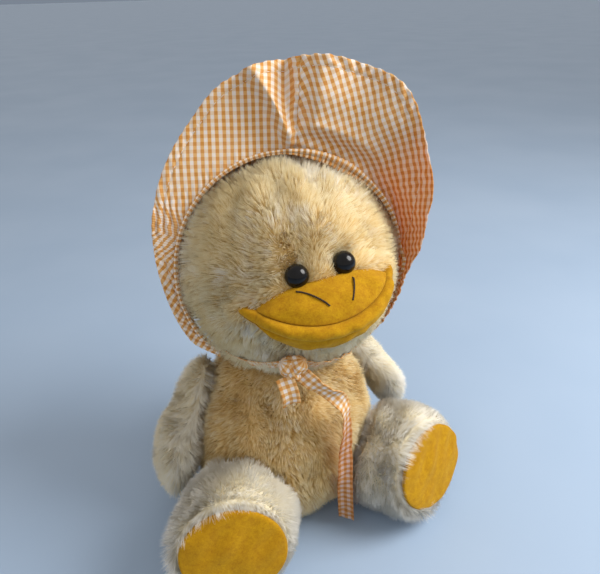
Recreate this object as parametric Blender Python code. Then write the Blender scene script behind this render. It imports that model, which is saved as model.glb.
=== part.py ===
"""Plush duckling sitting with its legs spread, in a gingham sun bonnet tied under the chin.

Metres, +Z up. The duck faces -Y, so its own right side is at -X. The origin is the middle
of the flat seat under the torso. Every stuffed piece has the outer shape of its pile.
"""
import math

import bmesh
import bpy
from mathutils import Matrix, Vector

# Fit, cutting and shading
GAP = 0.0003
CUT_OVERRUN = 0.010
SHARP_ANGLE = math.radians(50.0)

# Torso
TORSO_WIDTH = 0.152
TORSO_DEPTH = 0.136
NECK_HEIGHT = 0.147
BELLY_FORWARD = 0.004
TORSO_PROFILE_SHARES = [(0.0, 0.64), (0.035, 0.77), (0.12, 0.90), (0.26, 0.98), (0.42, 1.0),
                        (0.58, 0.965), (0.72, 0.87), (0.85, 0.735), (0.94, 0.63), (1.0, 0.55)]
TORSO_RING_SHARES = (0.0, 0.035, 0.08, 0.15, 0.24, 0.34, 0.45, 0.56, 0.67, 0.77, 0.86, 0.94, 1.0)

# Head
HEAD_WIDTH = 0.155
HEAD_DEPTH = 0.150
HEAD_HEIGHT = 0.152
NECK_CUT = 0.0117
HEAD_SIDE_SHIFT = 0.007
HEAD_FORWARD_SHIFT = 0.010
FACE_TURN = math.radians(-8.3)
FACE_LIFT = math.radians(-10.4)
FACE_TILT = math.radians(-6.2)

# Eyes, with a shank through the plush and a washer pushed on inside
EYE_RADIUS = 0.0075
EYE_DOME_HEIGHT = 0.0068
EYE_FLANGE_THICKNESS = 0.0012
EYE_SEAT_DEPTH = 0.0030
EYE_SPACING = 0.032
EYE_HEIGHT = 0.0133
SHANK_RADIUS = 0.0020
SHANK_LENGTH = 0.0125
WASHER_RADIUS = 0.0060
WASHER_THICKNESS = 0.0020
WASHER_DEPTH = 0.0070

# Bill, in the face's own frame from the head's centre
BILL_HALF_WIDTH = 0.044
BILL_TOP_HEIGHT = 0.008
BILL_CORNER_HEIGHT = -0.0028
GROOVE_REACH = 0.0278
GROOVE_HEIGHT = -0.0157
PAD_BULGE = 0.0045
BILL_SKIN_LIFT = 0.0008
RIM_RADIUS = 0.0045
RIM_STANDOFF = 0.0010
BOWL_BOTTOM_HEIGHT = -0.0385
BOWL_CORNER_HEIGHT = -0.0075
BOWL_BULGE = 0.0055
RIM_TIP_LENGTH = 0.0085
RIM_TAPER_SHARE = 0.70
RIM_TIP_SHARES = ((0.45, 0.80), (0.80, 0.50), (1.0, 0.18))
BILL_ROOT_SHARE = 0.62
BILL_END_SHARE = 0.985
BILL_STEP_SHARE = 0.02
PAD_RING_SHARES = (0.0, 0.08, 0.2, 0.35, 0.5, 0.65, 0.8, 0.92, 1.0)
BOWL_RING_SHARES = (0.12, 0.4, 0.7, 0.92)
THREAD_RADIUS = 0.0007
NOSTRIL_RIGHT_SHARES = [(-0.44, 0.10), (-0.36, 0.20), (-0.25, 0.33), (-0.14, 0.47), (-0.08, 0.56)]
NOSTRIL_LEFT_SHARES = [(0.33, 0.10), (0.325, 0.24), (0.305, 0.38), (0.285, 0.52)]

# Wings, hanging from the shoulder seams
SHOULDER_DROP = 0.010
SHOULDER_ROUND = math.radians(108.0)
SHOULDER_STANDOFF = 0.0012
WING_LENGTH = 0.128
WING_WIDTH = 0.056
WING_THICKNESS = 0.030
WING_ROOT_DROP = 0.0006
WING_SPREAD_RIGHT = math.radians(20.0)
WING_SPREAD_LEFT = math.radians(31.0)
WING_LIFT_RIGHT = math.radians(60.0)
WING_LIFT_LEFT = math.radians(45.0)
SWING_SHARES = (0.33, 0.66, 1.0)
WING_SIZE_SHARES = [(0.0, 0.20), (0.05, 0.42), (0.15, 0.58), (0.35, 0.80), (0.6, 1.0),
                    (0.8, 0.93), (0.92, 0.66), (0.98, 0.36), (1.0, 0.12)]
WING_RING_SHARES = (0.0, 0.04, 0.12, 0.24, 0.38, 0.52, 0.66, 0.79, 0.89, 0.96, 1.0)

# Legs: fur boots with felt soles
SOLE_SIDE_RIGHT = 0.0841
SOLE_SIDE_LEFT = 0.0825
SOLE_FORWARD = 0.0951
SOLE_CENTRE_HEIGHT = 0.0515
LEG_SPLAY = math.radians(18.2)
SOLE_TILT = math.radians(14.8)
BOOT_RADIUS = 0.0465
BOOT_LENGTH = 0.045
HIP_ROOT_SIDE = 0.030
HIP_ROOT_FORWARD = 0.024
HIP_ROOT_HEIGHT = 0.038
SOLE_HALF_WIDTH = 0.037
SOLE_HALF_HEIGHT = 0.032
SOLE_THICKNESS = 0.0035
SOLE_CROWN = 0.0025
BOOT_PROFILE_SHARES = [(0.0, 0.84), (0.06, 0.935), (0.18, 0.99), (0.36, 1.0), (0.56, 0.93),
                       (0.78, 0.78), (1.0, 0.55)]
BOOT_RING_SHARES = (0.0, 0.04, 0.1, 0.18, 0.28, 0.4, 0.53, 0.68, 0.84, 1.0)
SOLE_EDGE_SHARES = ((0.94, 0.0), (1.0, 0.25), (1.0, 0.6), (0.95, 0.95))
SOLE_CROWN_SHARES = ((0.78, 0.45), (0.5, 0.8))
HIP_HEIGHT = 0.090
HIP_ROUND = math.radians(45.5)
HIP_STANDOFF = 0.0010
HIP_DIRECTION = math.radians(48.5)
LEG_LIFT = math.radians(30.0)

# Tail tuft behind the seat
TAIL_LENGTH = 0.036
TAIL_ROOT_DEPTH = 0.014
TAIL_RADIUS = 0.019
TAIL_HEIGHT = 0.046
TAIL_RISE = math.radians(32.0)
TAIL_PROFILE_SHARES = [(0.0, 0.80), (0.25, 1.0), (0.5, 0.86), (0.75, 0.56), (0.92, 0.28), (1.0, 0.10)]
TAIL_RING_SHARES = (0.0, 0.2, 0.4, 0.6, 0.78, 0.92, 1.0)

# Bonnet, in its own frame from the head's centre
BONNET_TURN = math.radians(-21.8)
BONNET_LIFT = math.radians(-14.6)
SEAM_CLEARANCE = 0.0010
SEAM_FORWARD = 0.0160
BRIM_WIDTH = 0.071
BRIM_THICKNESS = 0.0022
BRIM_LEAN = 0.028
BRIM_DENT = 0.008
BRIM_RIPPLE = 0.0018
BRIM_RIPPLES = 9
BRIM_END = math.radians(138.0)
BRIM_WIDTH_SHARES = [(-1.0, 0.14), (-0.83, 0.14), (-0.67, 0.14), (-0.53, 0.17), (-0.40, 0.285),
                     (-0.265, 0.455), (-0.17, 0.61), (-0.09, 0.77), (0.02, 0.87), (0.085, 0.89),
                     (0.18, 0.86), (0.255, 0.64), (0.305, 0.48), (0.385, 0.28), (0.495, 0.11),
                     (0.62, 0.085), (0.76, 0.10), (1.0, 0.12)]
SEAM_SETBACK = 0.020
SEAM_SETBACK_SHARES = [(-1.0, 0.0), (0.30, 0.0), (0.42, 0.35), (0.54, 0.85), (0.66, 1.0), (0.80, 0.9),
                       (0.95, 0.0), (1.0, 0.0)]
BRIM_LEAN_SHARES = [(-1.0, 0.0), (-0.5, 0.05), (-0.2, -0.25), (0.0, -0.22), (0.1, 0.0), (0.22, 0.75),
                    (0.34, 1.0), (0.5, 0.85), (0.7, 0.4), (1.0, 0.05)]
BRIM_RING_SHARES = (0.0, 0.2, 0.45, 0.72, 1.0)
CROWN_BULGE = 0.0100
CROWN_ROOM = 0.011
CROWN_THICKNESS = 0.0012
CROWN_PLEAT = 0.0016
CROWN_PLEATS = 14
CROWN_PROFILE_SHARES = [(0.0, 0.0), (0.10, 0.50), (0.24, 1.0), (0.36, 0.92), (0.50, 0.45)]
CROWN_SHOULDER_SHARE = 0.50
CROWN_STEP_SHARE = 0.01
CROWN_RING_SHARES = (0.0, 0.06, 0.14, 0.24, 0.36, 0.48, 0.6, 0.72, 0.84, 0.94)
NAPE_CLEARANCE = 0.0115
BINDING_RADIUS = 0.0021
BINDING_END = math.radians(126.0)

# Ties and knot
TIE_WIDTH = 0.012
TIE_THICKNESS = 0.0011
KNOT_WIDTH = 0.021
KNOT_HEIGHT = 0.017
KNOT_DEPTH = 0.013
KNOT_TURN = math.radians(-26.1)
KNOT_DIP = math.radians(32.0)
KNOT_STANDOFF = 0.0063
TIE_LIFT = 0.0010
STRAP_START_SHARE = 0.55
STRAP_OVERLAP_SHARE = 0.03
STRAP_PINCH_SHARE = 0.35
LONG_TAIL_DROP = 0.152
LONG_TAIL_SWING = 0.042
LONG_TAIL_REACH = 0.006
SHORT_TAIL_DROP = 0.021
SHORT_TAIL_SWING = 0.003
SHORT_TAIL_REACH = 0.005
LONG_TAIL_SHARES = [(0.0, 0.0, 0.0), (0.20, 0.75, 0.065), (0.46, 1.0, 0.13), (0.70, 0.85, 0.22),
                    (0.79, 0.55, 0.35), (0.79, 0.42, 0.55), (0.80, 0.36, 0.78), (0.84, 0.33, 1.0)]
SHORT_TAIL_SHARES = [(0.0, 0.0, 0.0), (0.4, 0.6, 0.35), (0.75, 0.8, 0.7), (1.0, 0.6, 1.0)]
TAIL_TURN = math.radians(90.0)
LONG_TURN_SHARES = [(0.0, -0.30), (0.25, -0.30), (0.5, 0.45), (0.68, 0.10), (1.0, -0.45)]
SHORT_TURN_SHARES = [(0.0, -0.30), (0.5, -0.15), (1.0, -0.30)]

# Places that follow from the sizes above
HEAD_CENTRE_HEIGHT = NECK_HEIGHT + HEAD_HEIGHT / 2 - NECK_CUT
SEAM_RADIUS = HEAD_WIDTH / 2 + SEAM_CLEARANCE
CROWN_DEPTH = HEAD_DEPTH / 2 + SEAM_FORWARD + CROWN_ROOM

# Looks: colour, roughness and metallic value
CREAM_PLUSH = ((0.86, 0.74, 0.47), 0.95, 0.0)
PALE_PLUSH = ((0.90, 0.82, 0.62), 0.95, 0.0)
MUSTARD_FELT = ((0.80, 0.47, 0.05), 0.92, 0.0)
BLACK_GLOSS = ((0.012, 0.012, 0.016), 0.08, 0.0)
CLEAR_PLASTIC = ((0.80, 0.80, 0.78), 0.40, 0.0)
BLACK_THREAD = ((0.03, 0.025, 0.02), 0.80, 0.0)
ORANGE_GINGHAM = ((0.90, 0.62, 0.38), 0.85, 0.0)

# Mesh counts
BODY_SIDES = 32
LIMB_SIDES = 22
TURNED_SIDES = 24
THREAD_SIDES = 6
BRIM_COLUMNS = 58
CROWN_COLUMNS = 56
BILL_COLUMNS = 23


def clear_scene():
    """Take away whatever the file opened with."""
    for item in list(bpy.data.objects):
        bpy.data.objects.remove(item, do_unlink=True)


def along(table, place):
    """A smooth value read at a place from a table of (place, value) pairs."""
    if place <= table[0][0]:
        return table[0][1]
    if place >= table[-1][0]:
        return table[-1][1]
    index = 0
    while table[index + 1][0] < place:
        index += 1

    def slope(k):
        low = max(k - 1, 0)
        high = min(k + 1, len(table) - 1)
        return (table[high][1] - table[low][1]) / (table[high][0] - table[low][0])

    start, start_value = table[index]
    end, end_value = table[index + 1]
    span = end - start
    t = (place - start) / span
    return ((2 * t**3 - 3 * t**2 + 1) * start_value + (t**3 - 2 * t**2 + t) * span * slope(index)
            + (3 * t**2 - 2 * t**3) * end_value + (t**3 - t**2) * span * slope(index + 1))


def add_material(name, look):
    """A Principled material with the colour, roughness and metallic value of a look."""
    colour, roughness, metallic = look
    material = bpy.data.materials.new(name)
    material.use_nodes = True
    shader = material.node_tree.nodes["Principled BSDF"]
    shader.inputs["Base Color"].default_value = (*colour, 1.0)
    shader.inputs["Roughness"].default_value = roughness
    shader.inputs["Metallic"].default_value = metallic
    return material


def add_empty(name, location, rotation=(0.0, 0.0, 0.0), parent=None):
    """A joint's place, or the frame of a group of pieces."""
    empty = bpy.data.objects.new(name, None)
    bpy.context.scene.collection.objects.link(empty)
    empty.location = location
    empty.rotation_euler = rotation
    empty.parent = parent
    return empty


def add_object(name, bm, look=None, parent=None, location=(0.0, 0.0, 0.0), rotation=None):
    """An object from a closed mesh, smooth, with its faces pointing out and its own material."""
    bmesh.ops.recalc_face_normals(bm, faces=bm.faces)
    mesh = bpy.data.meshes.new(name)
    bm.to_mesh(mesh)
    bm.free()
    mesh.shade_smooth()
    mesh.set_sharp_from_angle(angle=SHARP_ANGLE)
    item = bpy.data.objects.new(name, mesh)
    bpy.context.scene.collection.objects.link(item)
    if look:
        mesh.materials.append(add_material(name + "_look", look))
    item.parent = parent
    item.location = location
    if rotation:
        item.rotation_euler = rotation
    return item


def add_cutter(name, bm, parent=None, location=(0.0, 0.0, 0.0), rotation=None):
    """A guide body for a Boolean, kept out of the model."""
    cutter = add_object(name, bm, None, parent, location, rotation)
    cutter.hide_render = True
    cutter.display_type = "WIRE"
    return cutter


def cut(item, cutter):
    """Take the cutter's space out of a piece."""
    boolean = item.modifiers.new(cutter.name, "BOOLEAN")
    boolean.operation = "DIFFERENCE"
    boolean.solver = "EXACT"
    boolean.object = cutter


def rings_mesh(rings):
    """A closed body through rings of equal count; a ring of one point is a pole."""
    bm = bmesh.new()
    loops = [[bm.verts.new(point) for point in ring] for ring in rings]
    for lower, upper in zip(loops, loops[1:]):
        count = max(len(lower), len(upper))
        for k in range(count):
            n = (k + 1) % count
            if len(lower) == 1:
                bm.faces.new((lower[0], upper[k], upper[n]))
            elif len(upper) == 1:
                bm.faces.new((lower[k], lower[n], upper[0]))
            else:
                bm.faces.new((lower[k], lower[n], upper[n], upper[k]))
    for loop in (loops[0], loops[-1]):
        if len(loop) > 2:
            bm.faces.new(loop)
    return bm


def turned_mesh(outline, sides=TURNED_SIDES):
    """A turned body about Z from (radius, height) pairs; a radius of zero is a pole."""
    rings = []
    for radius, height in outline:
        if radius == 0.0:
            rings.append([Vector((0.0, 0.0, height))])
        else:
            rings.append([Vector((radius * math.cos(a), radius * math.sin(a), height))
                          for a in (2 * math.pi * k / sides for k in range(sides))])
    return rings_mesh(rings)


def sheet_mesh(grid, thickness):
    """A closed cloth of even thickness around a grid of points, given as rows."""
    rows = len(grid)
    columns = len(grid[0])

    def normal(i, j):
        down = grid[min(i + 1, rows - 1)][j] - grid[max(i - 1, 0)][j]
        across = grid[i][min(j + 1, columns - 1)] - grid[i][max(j - 1, 0)]
        return down.cross(across).normalized()

    bm = bmesh.new()
    sides = []
    for sign in (1.0, -1.0):
        sides.append([[bm.verts.new(grid[i][j] + sign * thickness / 2 * normal(i, j))
                       for j in range(columns)] for i in range(rows)])
    front, back = sides
    for i in range(rows - 1):
        for j in range(columns - 1):
            bm.faces.new((front[i][j], front[i][j + 1], front[i + 1][j + 1], front[i + 1][j]))
            bm.faces.new((back[i][j], back[i + 1][j], back[i + 1][j + 1], back[i][j + 1]))
    border = ([(0, j) for j in range(columns)] + [(i, columns - 1) for i in range(1, rows)]
              + [(rows - 1, j) for j in range(columns - 2, -1, -1)]
              + [(i, 0) for i in range(rows - 2, 0, -1)])
    for k, (i, j) in enumerate(border):
        m, n = border[(k + 1) % len(border)]
        bm.faces.new((front[i][j], back[i][j], back[m][n], front[m][n]))
    return bm


def tube_mesh(points, radius, sides):
    """A closed round tube along points, with flat ends."""
    rings = []
    side = Vector((0.0, 0.0, 1.0))
    for k, point in enumerate(points):
        tangent = (points[min(k + 1, len(points) - 1)] - points[max(k - 1, 0)]).normalized()
        side = (side - side.dot(tangent) * tangent).normalized()
        other = tangent.cross(side)
        rings.append([point + radius * (math.cos(a) * side + math.sin(a) * other)
                      for a in (2 * math.pi * n / sides for n in range(sides))])
    return rings_mesh(rings)


def box_mesh(low, high):
    """A plain box between two corners, for cutting."""
    bm = bmesh.new()
    middle = (Vector(low) + Vector(high)) / 2
    size = Vector(high) - Vector(low)
    bmesh.ops.create_cube(bm, size=1.0, matrix=Matrix.Translation(middle) @ Matrix.Diagonal((*size, 1.0)))
    return bm


# The stuffed body

def torso_point(share, turn, clearance):
    """A point of the torso at a share of its height, turned from the front, grown by a clearance."""
    size = along(TORSO_PROFILE_SHARES, share)
    lean = BELLY_FORWARD * math.sin(math.pi * share)
    return Vector(((TORSO_WIDTH / 2 * size + clearance) * math.sin(turn),
                   -(TORSO_DEPTH / 2 * size + clearance) * math.cos(turn) - lean, NECK_HEIGHT * share))


def torso_rings(clearance):
    """Rings of the pear-shaped torso, grown outwards by a clearance."""
    rings = []
    for share in TORSO_RING_SHARES:
        over = {0.0: -clearance, 1.0: clearance}.get(share, 0.0)
        rings.append([torso_point(share, 2 * math.pi * k / BODY_SIDES, clearance) + Vector((0.0, 0.0, over))
                      for k in range(BODY_SIDES)])
    return rings


def head_rings(clearance):
    """Rings of the head ball from the flat neck to the top, about the head's centre."""
    neck = math.asin((NECK_HEIGHT + GAP - HEAD_CENTRE_HEIGHT) / (HEAD_HEIGHT / 2))
    steps = 13
    rings = []
    for k in range(steps):
        lift = neck + (math.pi / 2 - neck) * k / steps
        size = math.cos(lift)
        height = (HEAD_HEIGHT / 2 + clearance) * math.sin(lift)
        rings.append([Vector(((HEAD_WIDTH / 2 + clearance) * size * math.cos(a),
                              (HEAD_DEPTH / 2 + clearance) * size * math.sin(a), height))
                      for a in (2 * math.pi * n / BODY_SIDES for n in range(BODY_SIDES))])
    rings.append([Vector((0.0, 0.0, HEAD_HEIGHT / 2 + clearance))])
    return rings


def build_torso():
    """The stuffed torso, flat at the seat and at the neck seam."""
    return add_object("torso", rings_mesh(torso_rings(0.0)), CREAM_PLUSH)


def build_tail(torso_cutter):
    """The small tuft of a tail, sewn behind the seat and pointing up and back."""
    rings = []
    for share in TAIL_RING_SHARES:
        size = TAIL_RADIUS * along(TAIL_PROFILE_SHARES, share)
        rings.append([Vector((size * math.cos(a), size * math.sin(a),
                              share * (TAIL_LENGTH + TAIL_ROOT_DEPTH) - TAIL_ROOT_DEPTH))
                      for a in (2 * math.pi * k / LIMB_SIDES for k in range(LIMB_SIDES))])
    tail = add_object("tail", rings_mesh(rings), PALE_PLUSH, None, (0.0, TORSO_DEPTH / 2, TAIL_HEIGHT),
                      (TAIL_RISE - math.pi / 2, 0.0, 0.0))
    cut(tail, torso_cutter)
    return tail


# The face

def head_surface(x, z, clearance):
    """The point of the head ball in front of a place in the face's own frame."""
    half = Vector((HEAD_WIDTH, HEAD_DEPTH, HEAD_HEIGHT)) / 2 + Vector((clearance,) * 3)
    inside = max(1.0 - (x / half.x) ** 2 - (z / half.z) ** 2, 0.0)
    return Vector((x, -half.y * math.sqrt(inside), z))


def pad_top(s):
    """The seam of the upper bill on the forehead, s from -1 to 1 across the bill."""
    height = BILL_TOP_HEIGHT + (BILL_CORNER_HEIGHT - BILL_TOP_HEIGHT) * abs(s) ** 3
    return head_surface(BILL_HALF_WIDTH * s, height, BILL_SKIN_LIFT)


def groove(s):
    """The mouth line between the upper pad and the lower bill."""
    corner = head_surface(BILL_HALF_WIDTH, BILL_CORNER_HEIGHT, BILL_SKIN_LIFT)
    forward = math.sqrt(1.0 - s * s)
    height = GROOVE_HEIGHT + (BILL_CORNER_HEIGHT - GROOVE_HEIGHT) * s * s
    return Vector((BILL_HALF_WIDTH * s, corner.y - GROOVE_REACH * forward, height))


def pad_surface(s, t, lift=0.0):
    """A point of the upper bill, t from the forehead seam to the mouth line."""
    point = pad_top(s).lerp(groove(s), t)
    swell = (PAD_BULGE * math.sqrt(1.0 - s * s) + BILL_SKIN_LIFT) * math.sin(math.pi * t) ** 0.8
    return point + (swell + lift) * point.normalized()


def outward_from_mouth(s):
    """The direction square to the mouth line and to the ray from the head's centre, outwards."""
    ahead = min(s + BILL_STEP_SHARE, BILL_END_SHARE)
    behind = max(s - BILL_STEP_SHARE, -BILL_END_SHARE)
    tangent = groove(ahead) - groove(behind)
    ray = groove(s).normalized()
    outward = tangent.cross(ray)
    return (outward - outward.dot(ray) * ray).normalized()


def across_bill(count):
    """Even places across the bill, closer together at its corners."""
    return [BILL_END_SHARE * math.sin(math.pi * (k / (count - 1) - 0.5)) for k in range(count)]


def build_bill_upper(face, cutters):
    """The stuffed upper pad of the bill, pressed in where the eyes stand on its top seam."""
    rings = []
    for s in across_bill(BILL_COLUMNS):
        front = [pad_surface(s, t) for t in PAD_RING_SHARES]
        root = [BILL_ROOT_SHARE * front[-1], BILL_ROOT_SHARE * front[0]]
        rings.append(front + root)
    pad = add_object("bill_upper", rings_mesh(rings), MUSTARD_FELT, face)
    for cutter in cutters:
        cut(pad, cutter)
    return pad


def bowl_ring(s):
    """A section of the lower bill: the rolled rim, the crease under it and the bowl."""
    taper = RIM_TAPER_SHARE + (1.0 - RIM_TAPER_SHARE) * math.sqrt(1.0 - s * s)
    mouth = groove(s)
    ray = mouth.normalized()
    outward = outward_from_mouth(s)
    edge = mouth + 2 * GAP * outward
    radius = RIM_RADIUS * taper
    centre = edge + RIM_STANDOFF * ray + radius * outward
    ring = [edge]
    for k in range(5):
        a = math.radians(35.0) * k
        ring.append(centre + radius * (math.sin(a) * ray - math.cos(a) * outward))
    depth = (1.0 - abs(s) ** 2.6) ** 0.8
    height = BOWL_CORNER_HEIGHT + (BOWL_BOTTOM_HEIGHT - BOWL_CORNER_HEIGHT) * depth
    chin = head_surface(BILL_HALF_WIDTH * s, height, 0.0)
    crease = centre + radius * outward - RIM_STANDOFF * ray
    for t in BOWL_RING_SHARES:
        point = crease.lerp(chin, t)
        swell = BOWL_BULGE * taper * math.sin(math.pi * t) + BILL_SKIN_LIFT
        ring.append(point + swell * point.normalized())
    return ring + [BILL_ROOT_SHARE * chin, BILL_ROOT_SHARE * edge]


def rim_tip(ring, side):
    """Sections that carry the rolled rim past the pad's corner to a rounded tip on the cheek."""
    corner = ring[0]
    way = head_surface(corner.x + side * RIM_TIP_LENGTH, corner.z, 0.0) - corner
    middle = sum(ring, Vector()) / len(ring)
    middle = middle.normalized() * corner.length
    return [[middle + size * (point - middle) + reach * way for point in ring]
            for reach, size in RIM_TIP_SHARES]


def build_bill_lower(face, cutters):
    """The lower bill: a bowl whose rolled rim runs round the pad as a wide smile."""
    rings = [bowl_ring(s) for s in across_bill(BILL_COLUMNS)]
    rings = rim_tip(rings[0], -1.0)[::-1] + rings + rim_tip(rings[-1], 1.0)
    bowl = add_object("bill_lower", rings_mesh(rings), MUSTARD_FELT, face)
    for cutter in cutters:
        cut(bowl, cutter)
    return bowl


def build_nostrils(face):
    """The two embroidered lines on the upper bill."""
    lift = THREAD_RADIUS + 1.5 * GAP
    steps = 10
    for name, table in (("right", NOSTRIL_RIGHT_SHARES), ("left", NOSTRIL_LEFT_SHARES)):
        ends = len(table) - 1
        places = [(k / ends, s) for k, (s, t) in enumerate(table)]
        depths = [(k / ends, t) for k, (s, t) in enumerate(table)]
        points = [pad_surface(along(places, k / steps), along(depths, k / steps), lift)
                  for k in range(steps + 1)]
        thread = tube_mesh(points, THREAD_RADIUS, THREAD_SIDES)
        add_object("nostril_thread_" + name, thread, BLACK_THREAD, face)


def eye_place(side):
    """The seat of an eye on the head, and its turn so that Z looks outwards."""
    seat = head_surface(side * EYE_SPACING / 2, EYE_HEIGHT, 0.0)
    return seat, seat.to_track_quat("Z", "Y").to_euler()


def build_eyes(face, head):
    """Safety eyes: a dome on a shank through the plush, held by a washer inside."""
    base = GAP - EYE_SEAT_DEPTH
    shank_end = base - SHANK_LENGTH
    washer_top = -EYE_SEAT_DEPTH - WASHER_DEPTH
    washer_bottom = washer_top - WASHER_THICKNESS
    bore = SHANK_RADIUS + GAP
    steps = 6
    sockets = []
    for side, name in ((-1.0, "right"), (1.0, "left")):
        place, turn = eye_place(side)
        socket = [(0.0, CUT_OVERRUN), (EYE_RADIUS + GAP, CUT_OVERRUN), (EYE_RADIUS + GAP, -EYE_SEAT_DEPTH),
                  (bore, -EYE_SEAT_DEPTH), (bore, washer_top + GAP), (WASHER_RADIUS + GAP, washer_top + GAP),
                  (WASHER_RADIUS + GAP, washer_bottom - GAP), (bore, washer_bottom - GAP),
                  (bore, shank_end - GAP), (0.0, shank_end - GAP)]
        cutter = add_cutter("eye_socket_" + name, turned_mesh(socket), face, place, turn)
        cut(head, cutter)
        sockets.append(cutter)
        outline = [(0.0, shank_end), (SHANK_RADIUS, shank_end), (SHANK_RADIUS, base), (EYE_RADIUS, base)]
        for k in range(steps):
            a = math.pi / 2 * k / steps
            outline.append((EYE_RADIUS * math.cos(a),
                            base + EYE_FLANGE_THICKNESS + EYE_DOME_HEIGHT * math.sin(a)))
        outline.append((0.0, base + EYE_FLANGE_THICKNESS + EYE_DOME_HEIGHT))
        add_object("eye_" + name, turned_mesh(outline), BLACK_GLOSS, face, place, turn)
        disc = [(0.0, washer_bottom), (WASHER_RADIUS, washer_bottom),
                (WASHER_RADIUS, washer_top), (0.0, washer_top)]
        ring = add_object("eye_washer_" + name, turned_mesh(disc), CLEAR_PLASTIC, face, place, turn)
        hole = [(0.0, washer_bottom - CUT_OVERRUN), (bore, washer_bottom - CUT_OVERRUN),
                (bore, washer_top + CUT_OVERRUN), (0.0, washer_top + CUT_OVERRUN)]
        cut(ring, add_cutter("washer_bore_" + name, turned_mesh(hole), face, place, turn))
    return sockets


# The limbs

def cut_way_up(limb, hinge, lift):
    """Take out of a hinged limb the space that the torso takes on the limb's way up."""
    to_hinge = (Matrix.Translation(hinge.location) @ hinge.rotation_euler.to_matrix().to_4x4()).inverted()
    rings = [[to_hinge @ point for point in ring] for ring in torso_rings(GAP)]
    for k, share in enumerate(SWING_SHARES):
        turn = share * Vector(lift)
        cut(limb, add_cutter("%s_way_up_%d" % (limb.name, k), rings_mesh(rings), hinge, rotation=turn))


def build_wing(name, side, spread, lift, torso_cutter):
    """A flat stuffed wing that hangs outboard of its shoulder seam."""
    seam = torso_point(1.0 - SHOULDER_DROP / NECK_HEIGHT, side * SHOULDER_ROUND, SHOULDER_STANDOFF)
    shoulder = add_empty("shoulder_" + name, seam, (0.0, -side * spread, 0.0))
    rings = []
    for share in WING_RING_SHARES:
        size = along(WING_SIZE_SHARES, share)
        half_width = WING_WIDTH / 2 * size
        half_thickness = WING_THICKNESS / 2 * (0.25 + 0.75 * size)
        drop = -WING_ROOT_DROP - share * (WING_LENGTH - WING_ROOT_DROP)
        rings.append([Vector((side * half_thickness * (1.0 + math.cos(a)), half_width * math.sin(a), drop))
                      for a in (2 * math.pi * k / LIMB_SIDES for k in range(LIMB_SIDES))])
    wing = add_object("wing_" + name, rings_mesh(rings), CREAM_PLUSH, shoulder)
    cut(wing, torso_cutter)
    cut_way_up(wing, shoulder, (0.0, side * lift, 0.0))


def sole_frame(side, sole_side):
    """The place of a sole's centre and its frame: X across, Y up the sole, Z out of it."""
    centre = Vector((side * sole_side, -SOLE_FORWARD, SOLE_CENTRE_HEIGHT))
    turn = side * LEG_SPLAY
    outward = Vector((math.sin(turn) * math.cos(SOLE_TILT), -math.cos(turn) * math.cos(SOLE_TILT),
                      math.sin(SOLE_TILT)))
    across = Vector((math.cos(turn), math.sin(turn), 0.0))
    upward = outward.cross(across)
    return centre, across, upward, outward


def build_leg(name, side, sole_side, torso_cutter, ground_cutter):
    """A fur boot that swells from the hip, flat where it rests, and ends in a felt sole."""
    seam = torso_point(HIP_HEIGHT / NECK_HEIGHT, side * HIP_ROUND, HIP_STANDOFF)
    hip = add_empty("hip_" + name, seam, (0.0, 0.0, side * HIP_DIRECTION))
    to_hip = (Matrix.Translation(hip.location) @ Matrix.Rotation(side * HIP_DIRECTION, 4, "Z")).inverted()
    centre, across, upward, outward = sole_frame(side, sole_side)
    heel = centre - BOOT_LENGTH * outward
    root = Vector((side * HIP_ROOT_SIDE, -HIP_ROOT_FORWARD, HIP_ROOT_HEIGHT))
    rings = []
    for share in BOOT_RING_SHARES:
        size = BOOT_RADIUS * along(BOOT_PROFILE_SHARES, share)
        middle = centre.lerp(heel, share).lerp(heel.lerp(root, share), share)
        rings.append([to_hip @ (middle + size * (math.cos(a) * across + math.sin(a) * upward))
                      for a in (2 * math.pi * k / LIMB_SIDES for k in range(LIMB_SIDES))])
    leg = add_object("leg_" + name, rings_mesh(rings), PALE_PLUSH, hip)
    cut(leg, torso_cutter)
    cut_way_up(leg, hip, (LEG_LIFT, 0.0, 0.0))
    cut(leg, ground_cutter)
    outline = [(size, GAP + height * SOLE_THICKNESS) for size, height in SOLE_EDGE_SHARES]
    outline += [(size, GAP + SOLE_THICKNESS + height * SOLE_CROWN) for size, height in SOLE_CROWN_SHARES]
    rings = []
    for size, height in outline:
        wide = size * SOLE_HALF_WIDTH * across
        tall = size * SOLE_HALF_HEIGHT * upward
        rings.append([to_hip @ (centre + height * outward + math.cos(a) * wide + math.sin(a) * tall)
                      for a in (2 * math.pi * k / LIMB_SIDES for k in range(LIMB_SIDES))])
    rings.append([to_hip @ (centre + (GAP + SOLE_THICKNESS + SOLE_CROWN) * outward)])
    add_object("sole_" + name, rings_mesh(rings), MUSTARD_FELT, hip)


# The bonnet

def bonnet_point(angle, radius, forward):
    """A point in the bonnet's frame: an angle from the top, a radius and a way forward."""
    return Vector((radius * math.sin(angle), -forward, radius * math.cos(angle)))


def seam_forward(angle):
    """How far forward the seam of brim and crown lies; it is drawn back along the left jaw."""
    return SEAM_FORWARD - SEAM_SETBACK * along(SEAM_SETBACK_SHARES, angle / math.pi)


def brim_point(angle, t):
    """The middle of the brim's cloth, t from the crown seam to the outer edge."""
    share = angle / math.pi
    width = BRIM_WIDTH * along(BRIM_WIDTH_SHARES, share)
    lean = BRIM_LEAN * along(BRIM_LEAN_SHARES, share)
    dent = math.exp(-((share + 0.10) / 0.06) ** 2) * math.sin(math.pi * min(t * 0.8, 1.0))
    ripple = math.sin(BRIM_RIPPLES * angle) * t * width / BRIM_WIDTH
    forward = seam_forward(angle) + lean * t**1.3 - BRIM_DENT * dent + BRIM_RIPPLE * ripple
    return bonnet_point(angle, SEAM_RADIUS + width * t, forward)


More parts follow.
